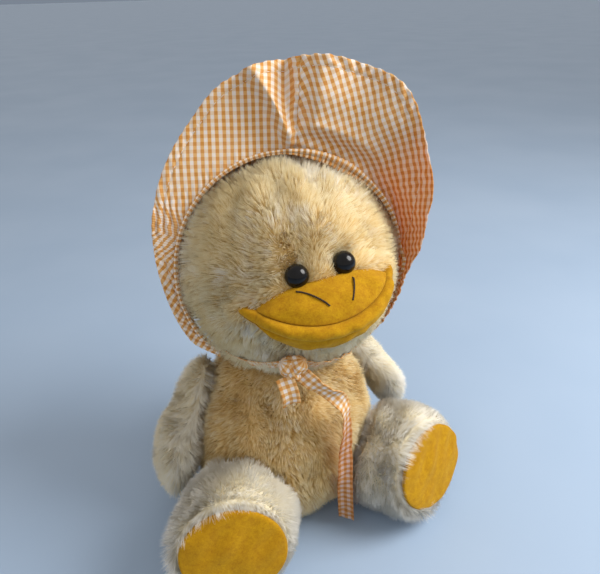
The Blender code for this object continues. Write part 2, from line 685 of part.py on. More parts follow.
def build_brim(bonnet):
    """The wide brim that stands up round the face and narrows along the jaw."""
    grid = []
    for t in BRIM_RING_SHARES:
        grid.append([brim_point(BRIM_END * (2 * k / (BRIM_COLUMNS - 1) - 1), t)
                     for k in range(BRIM_COLUMNS)])
    add_object("bonnet_brim", sheet_mesh(grid, BRIM_THICKNESS), ORANGE_GINGHAM, bonnet)


def crown_radius(t):
    """The radius of the crown, t from the brim seam to the middle of the back."""
    edge = SEAM_RADIUS + CROWN_THICKNESS + GAP
    if t < CROWN_SHOULDER_SHARE:
        return edge + CROWN_BULGE * along(CROWN_PROFILE_SHARES, t)
    shoulder = edge + CROWN_BULGE * CROWN_PROFILE_SHARES[-1][1]
    closing = (t - CROWN_SHOULDER_SHARE) / (1.0 - CROWN_SHOULDER_SHARE)
    return shoulder * max(math.cos(math.pi / 2 * closing), 0.0) ** 0.85


def crown_point(angle, t):
    """The middle of the crown's cloth, with its soft pleats."""
    turn = (angle + math.pi) % (2 * math.pi) - math.pi
    seam = seam_forward(turn) * (1.0 - t) + SEAM_FORWARD * t
    start = seam - BRIM_THICKNESS / 2 - 2 * GAP - CROWN_THICKNESS / 2
    swell = math.sin(math.pi * min(t * 1.4, 1.0))
    radius = crown_radius(t) + CROWN_PLEAT * math.cos(CROWN_PLEATS * angle) * max(swell, 0.0) ** 0.6
    forward = start - CROWN_DEPTH * math.sin(math.pi / 2 * t)
    return bonnet_point(angle, radius, forward)


def crown_row(angle_step, t, side):
    """One row of the crown's inner or outer face, half the cloth's thickness off its middle."""
    row = []
    for k in range(CROWN_COLUMNS):
        angle = angle_step * k
        before = crown_point(angle, max(t - CROWN_STEP_SHARE, 0.0))
        after = crown_point(angle, min(t + CROWN_STEP_SHARE, 1.0 - CROWN_STEP_SHARE))
        around = crown_point(angle + angle_step / 8, t) - crown_point(angle - angle_step / 8, t)
        normal = (after - before).cross(around).normalized()
        row.append(crown_point(angle, t) + side * CROWN_THICKNESS / 2 * normal)
    return row


def build_crown(bonnet, nape_cutter):
    """The puffed crown over the back of the head, gathered into the brim and cut at the nape."""
    angle_step = 2 * math.pi / CROWN_COLUMNS
    middle = crown_point(0.0, 1.0)
    rings = []
    for side in (1.0, -1.0):
        rows = [crown_row(angle_step, t, side) for t in CROWN_RING_SHARES]
        rows.append([Vector((0.0, middle.y + side * CROWN_THICKNESS / 2, 0.0))])
        rings.append(rows)
    outer, inner = rings
    bm = rings_mesh(outer[::-1] + inner)
    crown = add_object("bonnet_crown", bm, ORANGE_GINGHAM, bonnet)
    cut(crown, nape_cutter)


def build_binding(bonnet):
    """The gathered binding that covers the seam between brim and crown."""
    steps = 48
    points = []
    for k in range(steps):
        angle = BINDING_END * (2 * k / (steps - 1) - 1)
        width = BRIM_WIDTH * along(BRIM_WIDTH_SHARES, angle / math.pi)
        reach = 2.6 * BINDING_RADIUS / width
        proud = max(-brim_point(angle, reach * share).y for share in (0.0, 0.5, 1.0))
        forward = proud + BRIM_THICKNESS / 2 + 2 * GAP + BINDING_RADIUS
        points.append(bonnet_point(angle, SEAM_RADIUS + BINDING_RADIUS, forward))
    add_object("bonnet_binding", tube_mesh(points, BINDING_RADIUS, THREAD_SIDES), ORANGE_GINGHAM, bonnet)


# The ties

def build_straps(head_frame, knot_place, bonnet_turn, cutters):
    """The two straps from the brim's ends along the jaw to the knot under the chin."""
    reach = (HEAD_WIDTH + HEAD_HEIGHT) / 4 + TIE_LIFT
    goal = knot_place.normalized()
    steps = 16
    for name, side in (("right", -1.0), ("left", 1.0)):
        start = (bonnet_turn @ brim_point(side * BRIM_END, STRAP_START_SHARE)).normalized()
        inside_knot = 1.0 - KNOT_WIDTH / 4 / (reach * start.angle(goal))
        grid = [[], []]
        for k in range(steps):
            t = STRAP_OVERLAP_SHARE + (inside_knot - STRAP_OVERLAP_SHARE) * k / (steps - 1)
            ray = start.slerp(goal, t)
            across = ray.cross(start.slerp(goal, t + STRAP_OVERLAP_SHARE) - ray).normalized()
            half = TIE_WIDTH / 2 * (1.0 - STRAP_PINCH_SHARE * t)
            grid[0].append(reach * ray + half * across)
            grid[1].append(reach * ray - half * across)
        strap = add_object("tie_strap_" + name, sheet_mesh(grid, TIE_THICKNESS), ORANGE_GINGHAM, head_frame)
        for cutter in cutters:
            cut(strap, cutter)


def knot_mesh(clearance):
    """The lump of the knot, grown by a clearance."""
    outline = []
    steps = 8
    for k in range(steps + 1):
        a = math.pi * (k / steps - 0.5)
        radius = (KNOT_WIDTH / 2 + clearance) * math.cos(a) if 0 < k < steps else 0.0
        outline.append((radius, (KNOT_HEIGHT / 2 + clearance) * math.sin(a)))
    bm = turned_mesh(outline)
    for vertex in bm.verts:
        vertex.co.y *= (KNOT_DEPTH + 2 * clearance) / (KNOT_WIDTH + 2 * clearance)
    return bm


def build_knot(head_frame, knot_place, head_cutter):
    """The pulled knot where the two ties cross, and the space that it takes."""
    turn = knot_place.to_track_quat("-Y", "Z").to_euler()
    knot = add_object("tie_knot", knot_mesh(0.0), ORANGE_GINGHAM, head_frame, knot_place, turn)
    cut(knot, head_cutter)
    return add_cutter("knot_cutter", knot_mesh(GAP), head_frame, knot_place, turn)


def tail_path(table, start, swing, reach, drop):
    """A hanging tie's middle line from its table of shares, sideways, forward and down."""
    count = len(table) - 1
    steps = 3 * count + 1
    points = []
    for k in range(steps):
        place = k / (steps - 1)
        sideways = along([(n / count, row[0]) for n, row in enumerate(table)], place)
        forward = along([(n / count, row[1]) for n, row in enumerate(table)], place)
        down = along([(n / count, row[2]) for n, row in enumerate(table)], place)
        points.append(start + Vector((swing * sideways, -reach * forward, -drop * down)))
    return points


def tail_strip(points, width, turn_shares):
    """A flat strip along points, its width turning about Z by shares of the tail's turn."""
    grid = [[], []]
    for k, point in enumerate(points):
        ahead = points[min(k + 1, len(points) - 1)] - points[max(k - 1, 0)]
        turn = TAIL_TURN * along(turn_shares, k / (len(points) - 1))
        across = Vector((math.cos(turn), math.sin(turn), 0.0))
        tangent = ahead.normalized()
        across = (across - across.dot(tangent) * tangent).normalized()
        grid[0].append(point + width / 2 * across)
        grid[1].append(point - width / 2 * across)
    return sheet_mesh(grid, TIE_THICKNESS)


def build_tails(neck, knot, knot_cutter):
    """The short and the long end of the tie, hanging in front of the belly."""
    start = knot + Vector((KNOT_WIDTH * 0.25, -KNOT_DEPTH * 0.20, -KNOT_HEIGHT * 0.30))
    path = tail_path(LONG_TAIL_SHARES, start, LONG_TAIL_SWING, LONG_TAIL_REACH, LONG_TAIL_DROP)
    strip = tail_strip(path, TIE_WIDTH, LONG_TURN_SHARES)
    cut(add_object("tie_tail_long", strip, ORANGE_GINGHAM, neck), knot_cutter)
    start = knot + Vector((-KNOT_WIDTH * 0.36, -KNOT_DEPTH * 0.20, -KNOT_HEIGHT * 0.22))
    path = tail_path(SHORT_TAIL_SHARES, start, SHORT_TAIL_SWING, SHORT_TAIL_REACH, SHORT_TAIL_DROP)
    strip = tail_strip(path, TIE_WIDTH, SHORT_TURN_SHARES)
    cut(add_object("tie_tail_short", strip, ORANGE_GINGHAM, neck), knot_cutter)


def build_head(neck, centre):
    """The head ball with its face, and the space that the ball takes."""
    head = add_object("head", rings_mesh(head_rings(0.0)), CREAM_PLUSH, neck, centre)
    head_cutter = add_cutter("head_cutter", rings_mesh(head_rings(GAP)), neck, centre)
    face_turn = (Matrix.Rotation(FACE_TURN, 4, "Z") @ Matrix.Rotation(FACE_LIFT, 4, "X")
                 @ Matrix.Rotation(FACE_TILT, 4, "Y"))
    face = add_empty("face_frame", centre, face_turn.to_euler(), neck)
    sockets = build_eyes(face, head)
    build_bill_upper(face, [head_cutter] + sockets)
    build_bill_lower(face, [head_cutter])
    build_nostrils(face)
    return head_cutter


def build_bonnet(neck, centre, head_cutter):
    """The bonnet with its ties, on the head."""
    turn = Matrix.Rotation(BONNET_TURN, 4, "Z") @ Matrix.Rotation(BONNET_LIFT, 4, "X")
    bonnet = add_empty("bonnet_frame", centre, turn.to_euler(), neck)
    nape_cutter = add_cutter("nape_cutter",
                             box_mesh((-HEAD_WIDTH, -HEAD_WIDTH, NAPE_CLEARANCE - HEAD_HEIGHT),
                                      (HEAD_WIDTH, HEAD_WIDTH, NAPE_CLEARANCE)), neck)
    build_brim(bonnet)
    build_crown(bonnet, nape_cutter)
    build_binding(bonnet)
    head_frame = add_empty("head_frame", centre, (0.0, 0.0, 0.0), neck)
    ray = Vector((math.sin(KNOT_TURN) * math.cos(KNOT_DIP), -math.cos(KNOT_TURN) * math.cos(KNOT_DIP),
                  -math.sin(KNOT_DIP)))
    chin = 1.0 / Vector((ray.x / HEAD_WIDTH, ray.y / HEAD_DEPTH, ray.z / HEAD_HEIGHT)).length / 2
    knot_place = (chin + KNOT_STANDOFF) * ray
    knot_cutter = build_knot(head_frame, knot_place, head_cutter)
    build_straps(head_frame, knot_place, turn, [head_cutter, knot_cutter])
    build_tails(neck, centre + knot_place, knot_cutter)


def build_duck():
    """Every piece of the toy, from the seat up."""
    clear_scene()
    torso_cutter = add_cutter("torso_cutter", rings_mesh(torso_rings(GAP)))
    ground_cutter = add_cutter("ground_cutter", box_mesh((-TORSO_WIDTH, -TORSO_WIDTH, -CUT_OVERRUN),
                                                         (TORSO_WIDTH, TORSO_WIDTH, 0.0)))
    build_torso()
    build_tail(torso_cutter)
    build_wing("right", -1.0, WING_SPREAD_RIGHT, WING_LIFT_RIGHT, torso_cutter)
    build_wing("left", 1.0, WING_SPREAD_LEFT, WING_LIFT_LEFT, torso_cutter)
    build_leg("right", -1.0, SOLE_SIDE_RIGHT, torso_cutter, ground_cutter)
    build_leg("left", 1.0, SOLE_SIDE_LEFT, torso_cutter, ground_cutter)
    neck = add_empty("neck_pivot", (0.0, 0.0, NECK_HEIGHT))
    centre = Vector((HEAD_SIDE_SHIFT, -HEAD_FORWARD_SHIFT, HEAD_CENTRE_HEIGHT - NECK_HEIGHT))
    head_cutter = build_head(neck, centre)
    build_bonnet(neck, centre, head_cutter)
    bpy.context.view_layer.update()


build_duck()
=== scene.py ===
"""A plush duckling as it looks: long pile, felt bill and soles, glossy eyes and a gingham sun bonnet.

Metres, +Z up. The duckling faces -Y, so its own right side is at -X. Every piece sits on the
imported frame, whose solids give its place.
"""

import math

import bpy
import numpy as np
from mathutils import Matrix, Vector, kdtree
from mathutils.bvhtree import BVHTree


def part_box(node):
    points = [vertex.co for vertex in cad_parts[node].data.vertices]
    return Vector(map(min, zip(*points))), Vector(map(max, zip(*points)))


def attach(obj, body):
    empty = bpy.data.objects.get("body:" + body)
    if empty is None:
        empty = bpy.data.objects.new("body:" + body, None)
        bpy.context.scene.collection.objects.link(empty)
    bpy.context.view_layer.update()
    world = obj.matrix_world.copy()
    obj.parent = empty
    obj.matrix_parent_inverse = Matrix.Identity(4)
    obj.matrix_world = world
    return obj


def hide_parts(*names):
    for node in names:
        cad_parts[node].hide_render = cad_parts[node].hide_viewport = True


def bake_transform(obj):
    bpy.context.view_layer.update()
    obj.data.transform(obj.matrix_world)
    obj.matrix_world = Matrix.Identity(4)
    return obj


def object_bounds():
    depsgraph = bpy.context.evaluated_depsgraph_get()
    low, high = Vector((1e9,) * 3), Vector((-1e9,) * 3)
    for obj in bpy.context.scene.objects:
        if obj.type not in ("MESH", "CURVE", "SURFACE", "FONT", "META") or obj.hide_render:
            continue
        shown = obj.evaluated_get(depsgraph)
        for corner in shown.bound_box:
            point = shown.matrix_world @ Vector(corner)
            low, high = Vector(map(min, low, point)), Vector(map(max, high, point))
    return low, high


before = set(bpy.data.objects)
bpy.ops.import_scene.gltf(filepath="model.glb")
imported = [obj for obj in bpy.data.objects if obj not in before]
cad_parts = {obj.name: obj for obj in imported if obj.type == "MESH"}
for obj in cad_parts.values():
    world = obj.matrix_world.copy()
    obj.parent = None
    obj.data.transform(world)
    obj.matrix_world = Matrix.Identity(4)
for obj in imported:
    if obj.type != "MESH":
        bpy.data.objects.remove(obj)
CAD_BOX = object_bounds()
SEED = 11
SIDES = {"right": -1.0, "left": 1.0}

# Camera, as the photograph sees the duckling
CAMERA_PLACE = (-0.1588, -0.3566, 0.3882)
CAMERA_AZIMUTH = math.radians(-26.58)
CAMERA_ELEVATION = math.radians(27.03)
CAMERA_ROLL = math.radians(-1.615)
FOCAL_PIXELS = 576.27
PICTURE_WIDTH_PIXELS = 600.0
SENSOR_WIDTH_MM = 36.0

# Head and face, as in the solids
HEAD_WIDTH = 0.155
HEAD_DEPTH = 0.150
HEAD_HEIGHT = 0.152
FACE_TURN = math.radians(-8.3)
FACE_LIFT = math.radians(-10.4)
FACE_TILT = math.radians(-6.2)
NECK_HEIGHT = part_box("torso")[1][2]

# Eyes
EYE_RADIUS = 0.0075
EYE_DOME_HEIGHT = 0.0068
EYE_FLANGE_THICKNESS = 0.0012
EYE_SEAT_DEPTH = 0.0027
EYE_SPACING = 0.032
EYE_HEIGHT = 0.0133
SHANK_RADIUS = 0.0020
SHANK_LENGTH = 0.0125

# Bill
BILL_HALF_WIDTH = 0.044
BILL_TOP_HEIGHT = 0.008
BILL_CORNER_HEIGHT = -0.0028
GROOVE_REACH = 0.0278
GROOVE_HEIGHT = -0.0157
PAD_BULGE = 0.0045
BILL_SKIN_LIFT = 0.0008
RIM_RADIUS = 0.0045
RIM_STANDOFF = 0.0010
BOWL_BOTTOM_HEIGHT = -0.0385
BOWL_CORNER_HEIGHT = -0.0075
BOWL_BULGE = 0.0055
RIM_TIP_LENGTH = 0.0085
RIM_TIP_RISE = 0.0055
RIM_TAPER_SHARE = 0.70
BILL_ROOT_SHARE = 0.80
BILL_END_SHARE = 0.985
MOUTH_GAP = 0.0006
THREAD_RADIUS = 0.00055
THREAD_TURNS = 13
NOSTRIL_RIGHT_SHARES = [(-0.44, 0.08), (-0.36, 0.13), (-0.25, 0.24), (-0.14, 0.40), (-0.08, 0.54)]
NOSTRIL_LEFT_SHARES = [(0.385, 0.12), (0.332, 0.28), (0.276, 0.43), (0.222, 0.58)]

# Soles
SOLE_SIDES = {"right": 0.0841, "left": 0.0825}
SOLE_FORWARD = 0.0951
SOLE_CENTRE_HEIGHT = 0.0515
LEG_SPLAY = math.radians(18.2)
SOLE_TILT = math.radians(14.8)
SOLE_HALF_WIDTH = 0.037
SOLE_HALF_HEIGHT = 0.032
SOLE_THICKNESS = 0.0035
SOLE_CROWN = 0.0025

# Bonnet
BONNET_TURN = math.radians(-21.8)
BONNET_LIFT = math.radians(-14.6)
SEAM_RADIUS = 0.0785
SEAM_FORWARD = 0.0160
SEAM_SETBACK = 0.020
BRIM_WIDTH = 0.071
BRIM_LEAN = 0.028
BRIM_THICKNESS = 0.0009
BRIM_END = math.radians(138.0)
BRIM_WIDTH_SHARES = [(-1.0, 0.14), (-0.83, 0.14), (-0.67, 0.14), (-0.53, 0.17), (-0.40, 0.285),
                     (-0.265, 0.455), (-0.17, 0.61), (-0.09, 0.77), (0.02, 0.87), (0.085, 0.89),
                     (0.18, 0.86), (0.255, 0.64), (0.305, 0.48), (0.385, 0.28), (0.495, 0.11),
                     (0.62, 0.085), (0.76, 0.10), (1.0, 0.12)]
SEAM_SETBACK_SHARES = [(-1.0, 0.0), (0.30, 0.0), (0.42, 0.35), (0.54, 0.85), (0.66, 1.0), (0.80, 0.9),
                       (0.95, 0.0), (1.0, 0.0)]
BRIM_LEAN_SHARES = [(-1.0, 0.0), (-0.5, 0.05), (-0.2, -0.25), (0.0, -0.22), (0.1, 0.0), (0.22, 0.75),
                    (0.34, 1.0), (0.5, 0.85), (0.7, 0.4), (1.0, 0.05)]
BAND_WIDTH = 0.011
CENTRE_SEAM = math.radians(4.7)
BAND_STEP = 0.0135
BAND_RIDGE = 0.0035
FLANK_STEP = 0.0135
SECOND_STEP = 0.0100
GATHER_PERIOD = 0.0052
PUCKER_PERIOD = 0.0075
SEAM_PUCKER_PERIOD = 0.006
CRUMPLE_PERIOD = 0.011
SLANT_PERIOD = 0.016
CLOTH_COLUMNS = 420
BRIM_ROWS = 64
CROWN_ROWS = 90
HEM_WIDTH = 0.007
STITCH_LENGTH = 0.0026
STITCH_RADIUS = 0.00022
STITCH_PITCH_SHARE = 1.5
CROWN_BULGE = 0.0100
CROWN_DEPTH = 0.102
CROWN_THICKNESS = 0.0008
CROWN_PLEAT = 0.0016
CROWN_PLEATS = 14
CROWN_PROFILE_SHARES = [(0.0, 0.0), (0.10, 0.50), (0.24, 1.0), (0.36, 0.92), (0.50, 0.45)]
CROWN_SHOULDER_SHARE = 0.50
CROWN_CLOSE_SHARE = 0.9998
NAPE_HEIGHT = NECK_HEIGHT + 0.0115
BINDING_RADIUS = 0.0021
BINDING_END = math.radians(126.0)
BINDING_THICKNESS = 0.0005
CHECK = 0.0050
THREADS_PER_CHECK = 14

# Ties
TIE_WIDTH = 0.012
TIE_THICKNESS = 0.0007
KNOT_THICKNESS = 0.0006
STRIP_ROWS = 15
KNOT_TURN = math.radians(-26.1)
KNOT_DIP = math.radians(32.0)
KNOT_STANDOFF = 0.0063
KNOT_WIDTH = 0.021
KNOT_HEIGHT = 0.017
KNOT_DEPTH = 0.013
# How far each tie end goes sideways, forward and down, and the shares of these along it
LONG_TAIL_SIZES = (0.042, 0.006, 0.152)
SHORT_TAIL_SIZES = (0.003, 0.005, 0.021)
LONG_TAIL_SHARES = [(0.0, 0.0, 0.0), (0.20, 0.75, 0.065), (0.46, 1.0, 0.13), (0.70, 0.85, 0.22),
                    (0.79, 0.55, 0.35), (0.79, 0.42, 0.55), (0.80, 0.36, 0.78), (0.84, 0.33, 1.0)]
SHORT_TAIL_SHARES = [(0.0, 0.0, 0.0), (0.4, 0.6, 0.35), (0.75, 0.8, 0.7), (1.0, 0.6, 1.0)]
LONG_TURN_SHARES = [(0.0, -0.30), (0.25, -0.30), (0.5, 0.45), (0.68, 0.10), (1.0, -0.45)]
SHORT_TURN_SHARES = [(0.0, -0.30), (0.5, -0.15), (1.0, -0.30)]
TAIL_TURN = math.radians(90.0)
# Each tie end's shares and turns, its sizes, its start as shares of the knot, its steps and its slant
TAILS = {
    "long": (LONG_TAIL_SHARES, LONG_TURN_SHARES, LONG_TAIL_SIZES, (0.25, -0.20, -0.30), 140, 0.25),
    "short": (SHORT_TAIL_SHARES, SHORT_TURN_SHARES, SHORT_TAIL_SIZES, (-0.36, -0.20, -0.22), 40, -0.5)}

# Fur
SKIN_VOXEL = 0.0026
SKIN_DEPTH = 0.0053
TAIL_SKIN_DEPTH = 0.0028
STRAND_LENGTH = 0.0080
STRAND_WIDTH = 0.00030
STRAND_LIFT = math.radians(78.0)
STRAND_SAG = 0.10
STRAND_BEND = 0.14
# How much whole locks and single strands differ in turn, in lift and in length
LOCK_TURN = 0.16
LOCK_LIFT = 0.07
LOCK_UNEVENNESS = 0.08
SINGLE_TURN = 0.14
SINGLE_LIFT = 0.08
SINGLE_UNEVENNESS = 0.10
STRANDS_PER_CLUMP = 14
STRANDS_PER_PIECE = 36000
HEAD_STRANDS = 142000
TORSO_STRANDS = 107000
LEG_STRANDS = 58000
WING_STRANDS = 35000
TAIL_STRANDS = 9000
LEVEL_SHARES = (0.0, 0.34, 0.68, 1.0)
LEVEL_WIDTH_SHARES = (1.0, 0.85, 0.55)
# A strand's seven points by level, and the corners of its two quads and its tip
STRAND_POINT_LEVELS = (0, 0, 1, 1, 2, 2, 3)
STRAND_CORNERS = (0, 1, 3, 2, 2, 3, 5, 4, 4, 5, 6)
STRAND_FACE_STARTS = (0, 4, 8)
# The pile by a neighbour: none up to the first distance, full from the second, and the share it starts with
NEAR_FELT = (0.0006, 0.007, 0.50)
NEAR_KNOT = (0.0022, 0.008, 0.55)
NEAR_EYES = (0.0002, 0.005, 0.50)
NEAR_CHEST = (0.0008, 0.009, 0.40)
NEAR_LIMBS = (0.0008, 0.008, 0.45)
NEAR_BODY = (0.0008, 0.006, 0.5)

# Colours as 8-bit screen values. Pile: root, middle, tip, pale locks and patches; the deeper root is partly
# painted shade down in the pile
PILE_COLOURS = {
    "cream_pile": ((219, 184, 118), (239, 218, 166), (248, 242, 216), (254, 252, 246), (242, 226, 180)),
    # The torso's pile is deeper and more golden than the head's, partly as painted shade under the head
    "golden_pile_and_shade": ((198, 148, 68), (234, 204, 140), (250, 241, 208), (253, 248, 232), (240, 222, 170)),
    "wing_pile": ((232, 208, 156), (248, 238, 208), (254, 251, 240), (255, 254, 251), (247, 239, 214)),
    "pale_pile": ((240, 233, 212), (251, 248, 240), (254, 253, 251), (255, 255, 254), (250, 247, 238))}
# Cloth: white, the stripes up and across, where they cross, and the light that comes through
CLOTH_COLOURS = {
    "gingham_cotton": ((246, 241, 236), (230, 180, 112), (242, 219, 188), (212, 144, 64), (246, 188, 96)),
    "gingham_tie": ((247, 243, 240), (236, 196, 142), (236, 196, 142), (216, 148, 70), (244, 160, 86))}

# Surroundings; a lamp's azimuth, elevation, distance, size, watts and tint
FLOOR_REACH = 90.0
SKY_LIGHT = (1.0, 0.955, 0.90, 1.0)
SKY_STRENGTH = 0.62
SKY_SEEN = (0.20, 0.235, 0.29, 1.0)
LAMP_AIM_HEIGHT = 0.15
WINDOW_LAMP = (54.0, 41.0, 1.3, 0.80, 18.8, (1.0, 0.985, 0.95))
FILL_LAMP = (-50.0, 30.0, 1.8, 1.4, 3.0, (0.93, 0.96, 1.0))


def colour(red, green, blue):
    """A colour for a material from its 8-bit screen values."""
    parts = []
    for value in (red, green, blue):
        value = value / 255.0
        parts.append(value / 12.92 if value <= 0.04045 else ((value + 0.055) / 1.055) ** 2.4)
    return (*parts, 1.0)


PILE_SURFACE = {"Roughness": 0.70, "Specular IOR Level": 0.25, "Sheen Weight": 0.12, "Sheen Roughness": 0.5}
FELT_SURFACE = {"Roughness": 0.9, "Specular IOR Level": 0.15, "Sheen Weight": 0.25, "Sheen Roughness": 0.6,
                "Sheen Tint": colour(244, 206, 110)}
COTTON_SURFACE = {"Roughness": 0.82, "Specular IOR Level": 0.2, "Sheen Weight": 0.08}


# Small tools

def unit(vectors):
    """Vectors of length one."""
    return vectors / np.maximum(np.linalg.norm(vectors, axis=-1, keepdims=True), 1e-9)


def smooth(values):
    """A soft step from 0 to 1."""
    values = np.clip(values, 0.0, 1.0)
    return values * values * (3.0 - 2.0 * values)


def bell(values):
    """A soft bump of height 1 around 0."""
    return np.exp(-values * values)


def drift(points, scale, seed, waves=7):
    """Smooth wandering values, about -1.5 to 1.5, over an array of points."""
    rng = np.random.default_rng(seed)
    ways = unit(rng.normal(size=(waves, 3))) * rng.uniform(0.6, 1.5, (waves, 1)) * 2 * math.pi / scale
    phases = rng.uniform(0.0, 2 * math.pi, waves)
    return np.sin(points @ ways.T + phases).sum(-1) / math.sqrt(waves / 2)


def along(table, place):
    """Smooth values read at places from a table of (place, value) pairs."""
    x, y = np.array(table, dtype=float).T
    slopes = np.empty_like(y)
    slopes[1:-1] = (y[2:] - y[:-2]) / (x[2:] - x[:-2])
    slopes[0] = (y[1] - y[0]) / (x[1] - x[0])
    slopes[-1] = (y[-1] - y[-2]) / (x[-1] - x[-2])
    place = np.clip(place, x[0], x[-1])
    i = np.clip(np.searchsorted(x, place) - 1, 0, len(x) - 2)
    span = x[i + 1] - x[i]
    t = (place - x[i]) / span
    return ((2 * t**3 - 3 * t**2 + 1) * y[i] + (t**3 - 2 * t**2 + t) * span * slopes[i]
            + (3 * t**2 - 2 * t**3) * y[i + 1] + (t**3 - t**2) * span * slopes[i + 1])


def run_through(table, steps):
    """Smooth values at steps from 0 to 1 through the rows of a table, one array for each column."""
    places = np.linspace(0.0, 1.0, len(table))
    return [along(list(zip(places, column)), steps) for column in zip(*table)]


def stacked(*parts):
    """Arrays that fit each other, as the coordinates of places."""
    return np.stack(np.broadcast_arrays(*parts), -1)


def lengths(path):
    """How far along its path each point lies."""
    return np.concatenate([[0.0], np.cumsum(np.linalg.norm(np.diff(path, axis=0), axis=1))])


def direction(azimuth, elevation):
    """The way towards an azimuth, with 0 in front of the duckling, and an elevation."""
    return Vector((math.sin(azimuth) * math.cos(elevation), -math.cos(azimuth) * math.cos(elevation),
                   math.sin(elevation)))


def frame_from(across, upward, outward, origin):
    """The matrix of a frame from its axes X, Y and Z and its origin."""
    return Matrix(((*across, 0.0), (*upward, 0.0), (*outward, 0.0), (*origin, 1.0))).transposed()


def moved(matrix, points):
    """An array of points carried by a matrix."""
    m = np.array(matrix)
    return points @ m[:3, :3].T + m[:3, 3]


def add_object(name, data):
    """A new object in the scene."""
    thing = bpy.data.objects.new(name, data)
    bpy.context.scene.collection.objects.link(thing)
    return thing


def mark(mesh, name, values):
    """Write a colour on every vertex, for a material that reads it by name."""
    mesh.color_attributes.new(name, "FLOAT_COLOR", "POINT").data.foreach_set("color", values.ravel())


def mark_painted_shade(piece, share):
    """Mark on every vertex an extra share of light let through the cloth, set by place as painted shade that
    turns it deeper orange.
    """
    values = np.ones((len(share), 4), dtype=np.float32)
    values[:, :3] = share[:, None]
    mark(piece.data, "painted_shade", values)


def add_piece(name, points, faces, material, body, cloth=None):
    """A smooth mesh piece that rides on a body; cloth gives each corner its place on the flat cloth."""
    mesh = bpy.data.meshes.new(name)
    faces = faces.tolist() if isinstance(faces, np.ndarray) else faces
    mesh.from_pydata(np.asarray(points).reshape(-1, 3).tolist(), [], faces)
    mesh.shade_smooth()
    if cloth is not None:
        layer = mesh.uv_layers.new(name="cloth")
        layer.data.foreach_set("uv", np.asarray(cloth, dtype=np.float32).ravel())
    mesh.materials.append(material)
    piece = add_object(name, mesh)
    if body:
        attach(piece, body)
    return piece


def grid_faces(rows, columns, closed=False):
    """The quads of a grid, closed around its columns or open."""
    wide = columns if closed else columns - 1
    i, j = np.meshgrid(np.arange(rows - 1), np.arange(wide), indexing="ij")
    n = (j + 1) % columns
    return np.stack([i * columns + j, i * columns + n, (i + 1) * columns + n, (i + 1) * columns + j],
                    -1).reshape(-1, 4)


def thicken(piece, thickness):
    """Give a cloth its thickness, evenly to both sides."""
    solid = piece.modifiers.new("cloth", "SOLIDIFY")
    solid.thickness = thickness
    solid.offset = 0.0
    solid.use_even_offset = False
    return piece


def add_cloth(name, points, places, material, body, thickness=0.0, closed=False):
    """A cloth piece from a grid of points and their places on the flat cloth."""
    faces = grid_faces(*points.shape[:2], closed)
    piece = add_piece(name, points, faces, material, body, places.reshape(-1, 2)[faces])
    return thicken(piece, thickness) if thickness else piece


# The places of the head, the face and the bonnet

def head_centre():
    """The middle of the head ball in the frame."""
    low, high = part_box("head")
    return Vector(((low[0] + high[0]) / 2, (low[1] + high[1]) / 2, high[2] - HEAD_HEIGHT / 2))


HEAD_CENTRE = head_centre()
FACE_FRAME = (Matrix.Translation(HEAD_CENTRE) @ Matrix.Rotation(FACE_TURN, 4, "Z")
              @ Matrix.Rotation(FACE_LIFT, 4, "X") @ Matrix.Rotation(FACE_TILT, 4, "Y"))
BONNET_FRAME = (Matrix.Translation(HEAD_CENTRE) @ Matrix.Rotation(BONNET_TURN, 4, "Z")
                @ Matrix.Rotation(BONNET_LIFT, 4, "X"))


def knot_centre():
    """The middle of the knot under the chin."""
    ray = direction(KNOT_TURN, -KNOT_DIP)
    chin = 0.5 / Vector((ray.x / HEAD_WIDTH, ray.y / HEAD_DEPTH, ray.z / HEAD_HEIGHT)).length
    return HEAD_CENTRE + (chin + KNOT_STANDOFF) * ray


# Materials

def new_material(name):
    """A node material, its tree and its Principled shader."""
    material = bpy.data.materials.new(name)
    material.use_nodes = True
    tree = material.node_tree
    return material, tree, tree.nodes["Principled BSDF"]


def set_inputs(node, inputs):
    """Fill a node's inputs, each with a value or with a link from a socket."""
    for key, value in dict(inputs).items():
        if isinstance(value, bpy.types.NodeSocket):
            node.id_data.links.new(value, node.inputs[key])
        else:
            node.inputs[key].default_value = value


def add_node(tree, kind, inputs=(), **settings):
    """A node with its settings and inputs."""
    node = tree.nodes.new("ShaderNode" + kind)
    for key, value in settings.items():
        setattr(node, key, value)
    set_inputs(node, inputs)
    return node


def maths(tree, operation, *values):
    """The result of a Math node."""
    return add_node(tree, "Math", dict(enumerate(values)), operation=operation).outputs[0]


def mixed(tree, factor, first, second, blend="MIX"):
    """The result of a colour Mix node."""
    return add_node(tree, "Mix", {0: factor, 6: first, 7: second}, data_type="RGBA",
                    blend_type=blend).outputs[2]


def ranged(tree, value, low, high, least=0.0, most=1.0):
    """A value between two limits, spread between two others."""
    return add_node(tree, "MapRange", {"Value": value, "From Min": low, "From Max": high, "To Min": least,
                                       "To Max": most}, clamp=True).outputs["Result"]


def noise(tree, place, scale, detail, roughness=0.5, distortion=0.0):
    """Noise over a place."""
    return add_node(tree, "TexNoise", {"Vector": place, "Scale": scale, "Detail": detail,
                                       "Roughness": roughness, "Distortion": distortion}).outputs["Fac"]


def blotches(tree, size):
    """Soft patches of about a size, from 0 to 1, over the object's own coordinates."""
    place = add_node(tree, "TexCoord").outputs["Object"]
    return ranged(tree, noise(tree, place, 1.0 / size, 3.0), 0.35, 0.65)


def let_light_through(material, tree, shader, share, tint):
    """Mix in the light that comes through from behind."""
    behind = add_node(tree, "BsdfTranslucent", {"Color": tint})
    mix = add_node(tree, "MixShader", {0: share, 1: shader.outputs[0], 2: behind.outputs[0]})
    tree.links.new(mix.outputs[0], tree.nodes["Material Output"].inputs["Surface"])
    return material


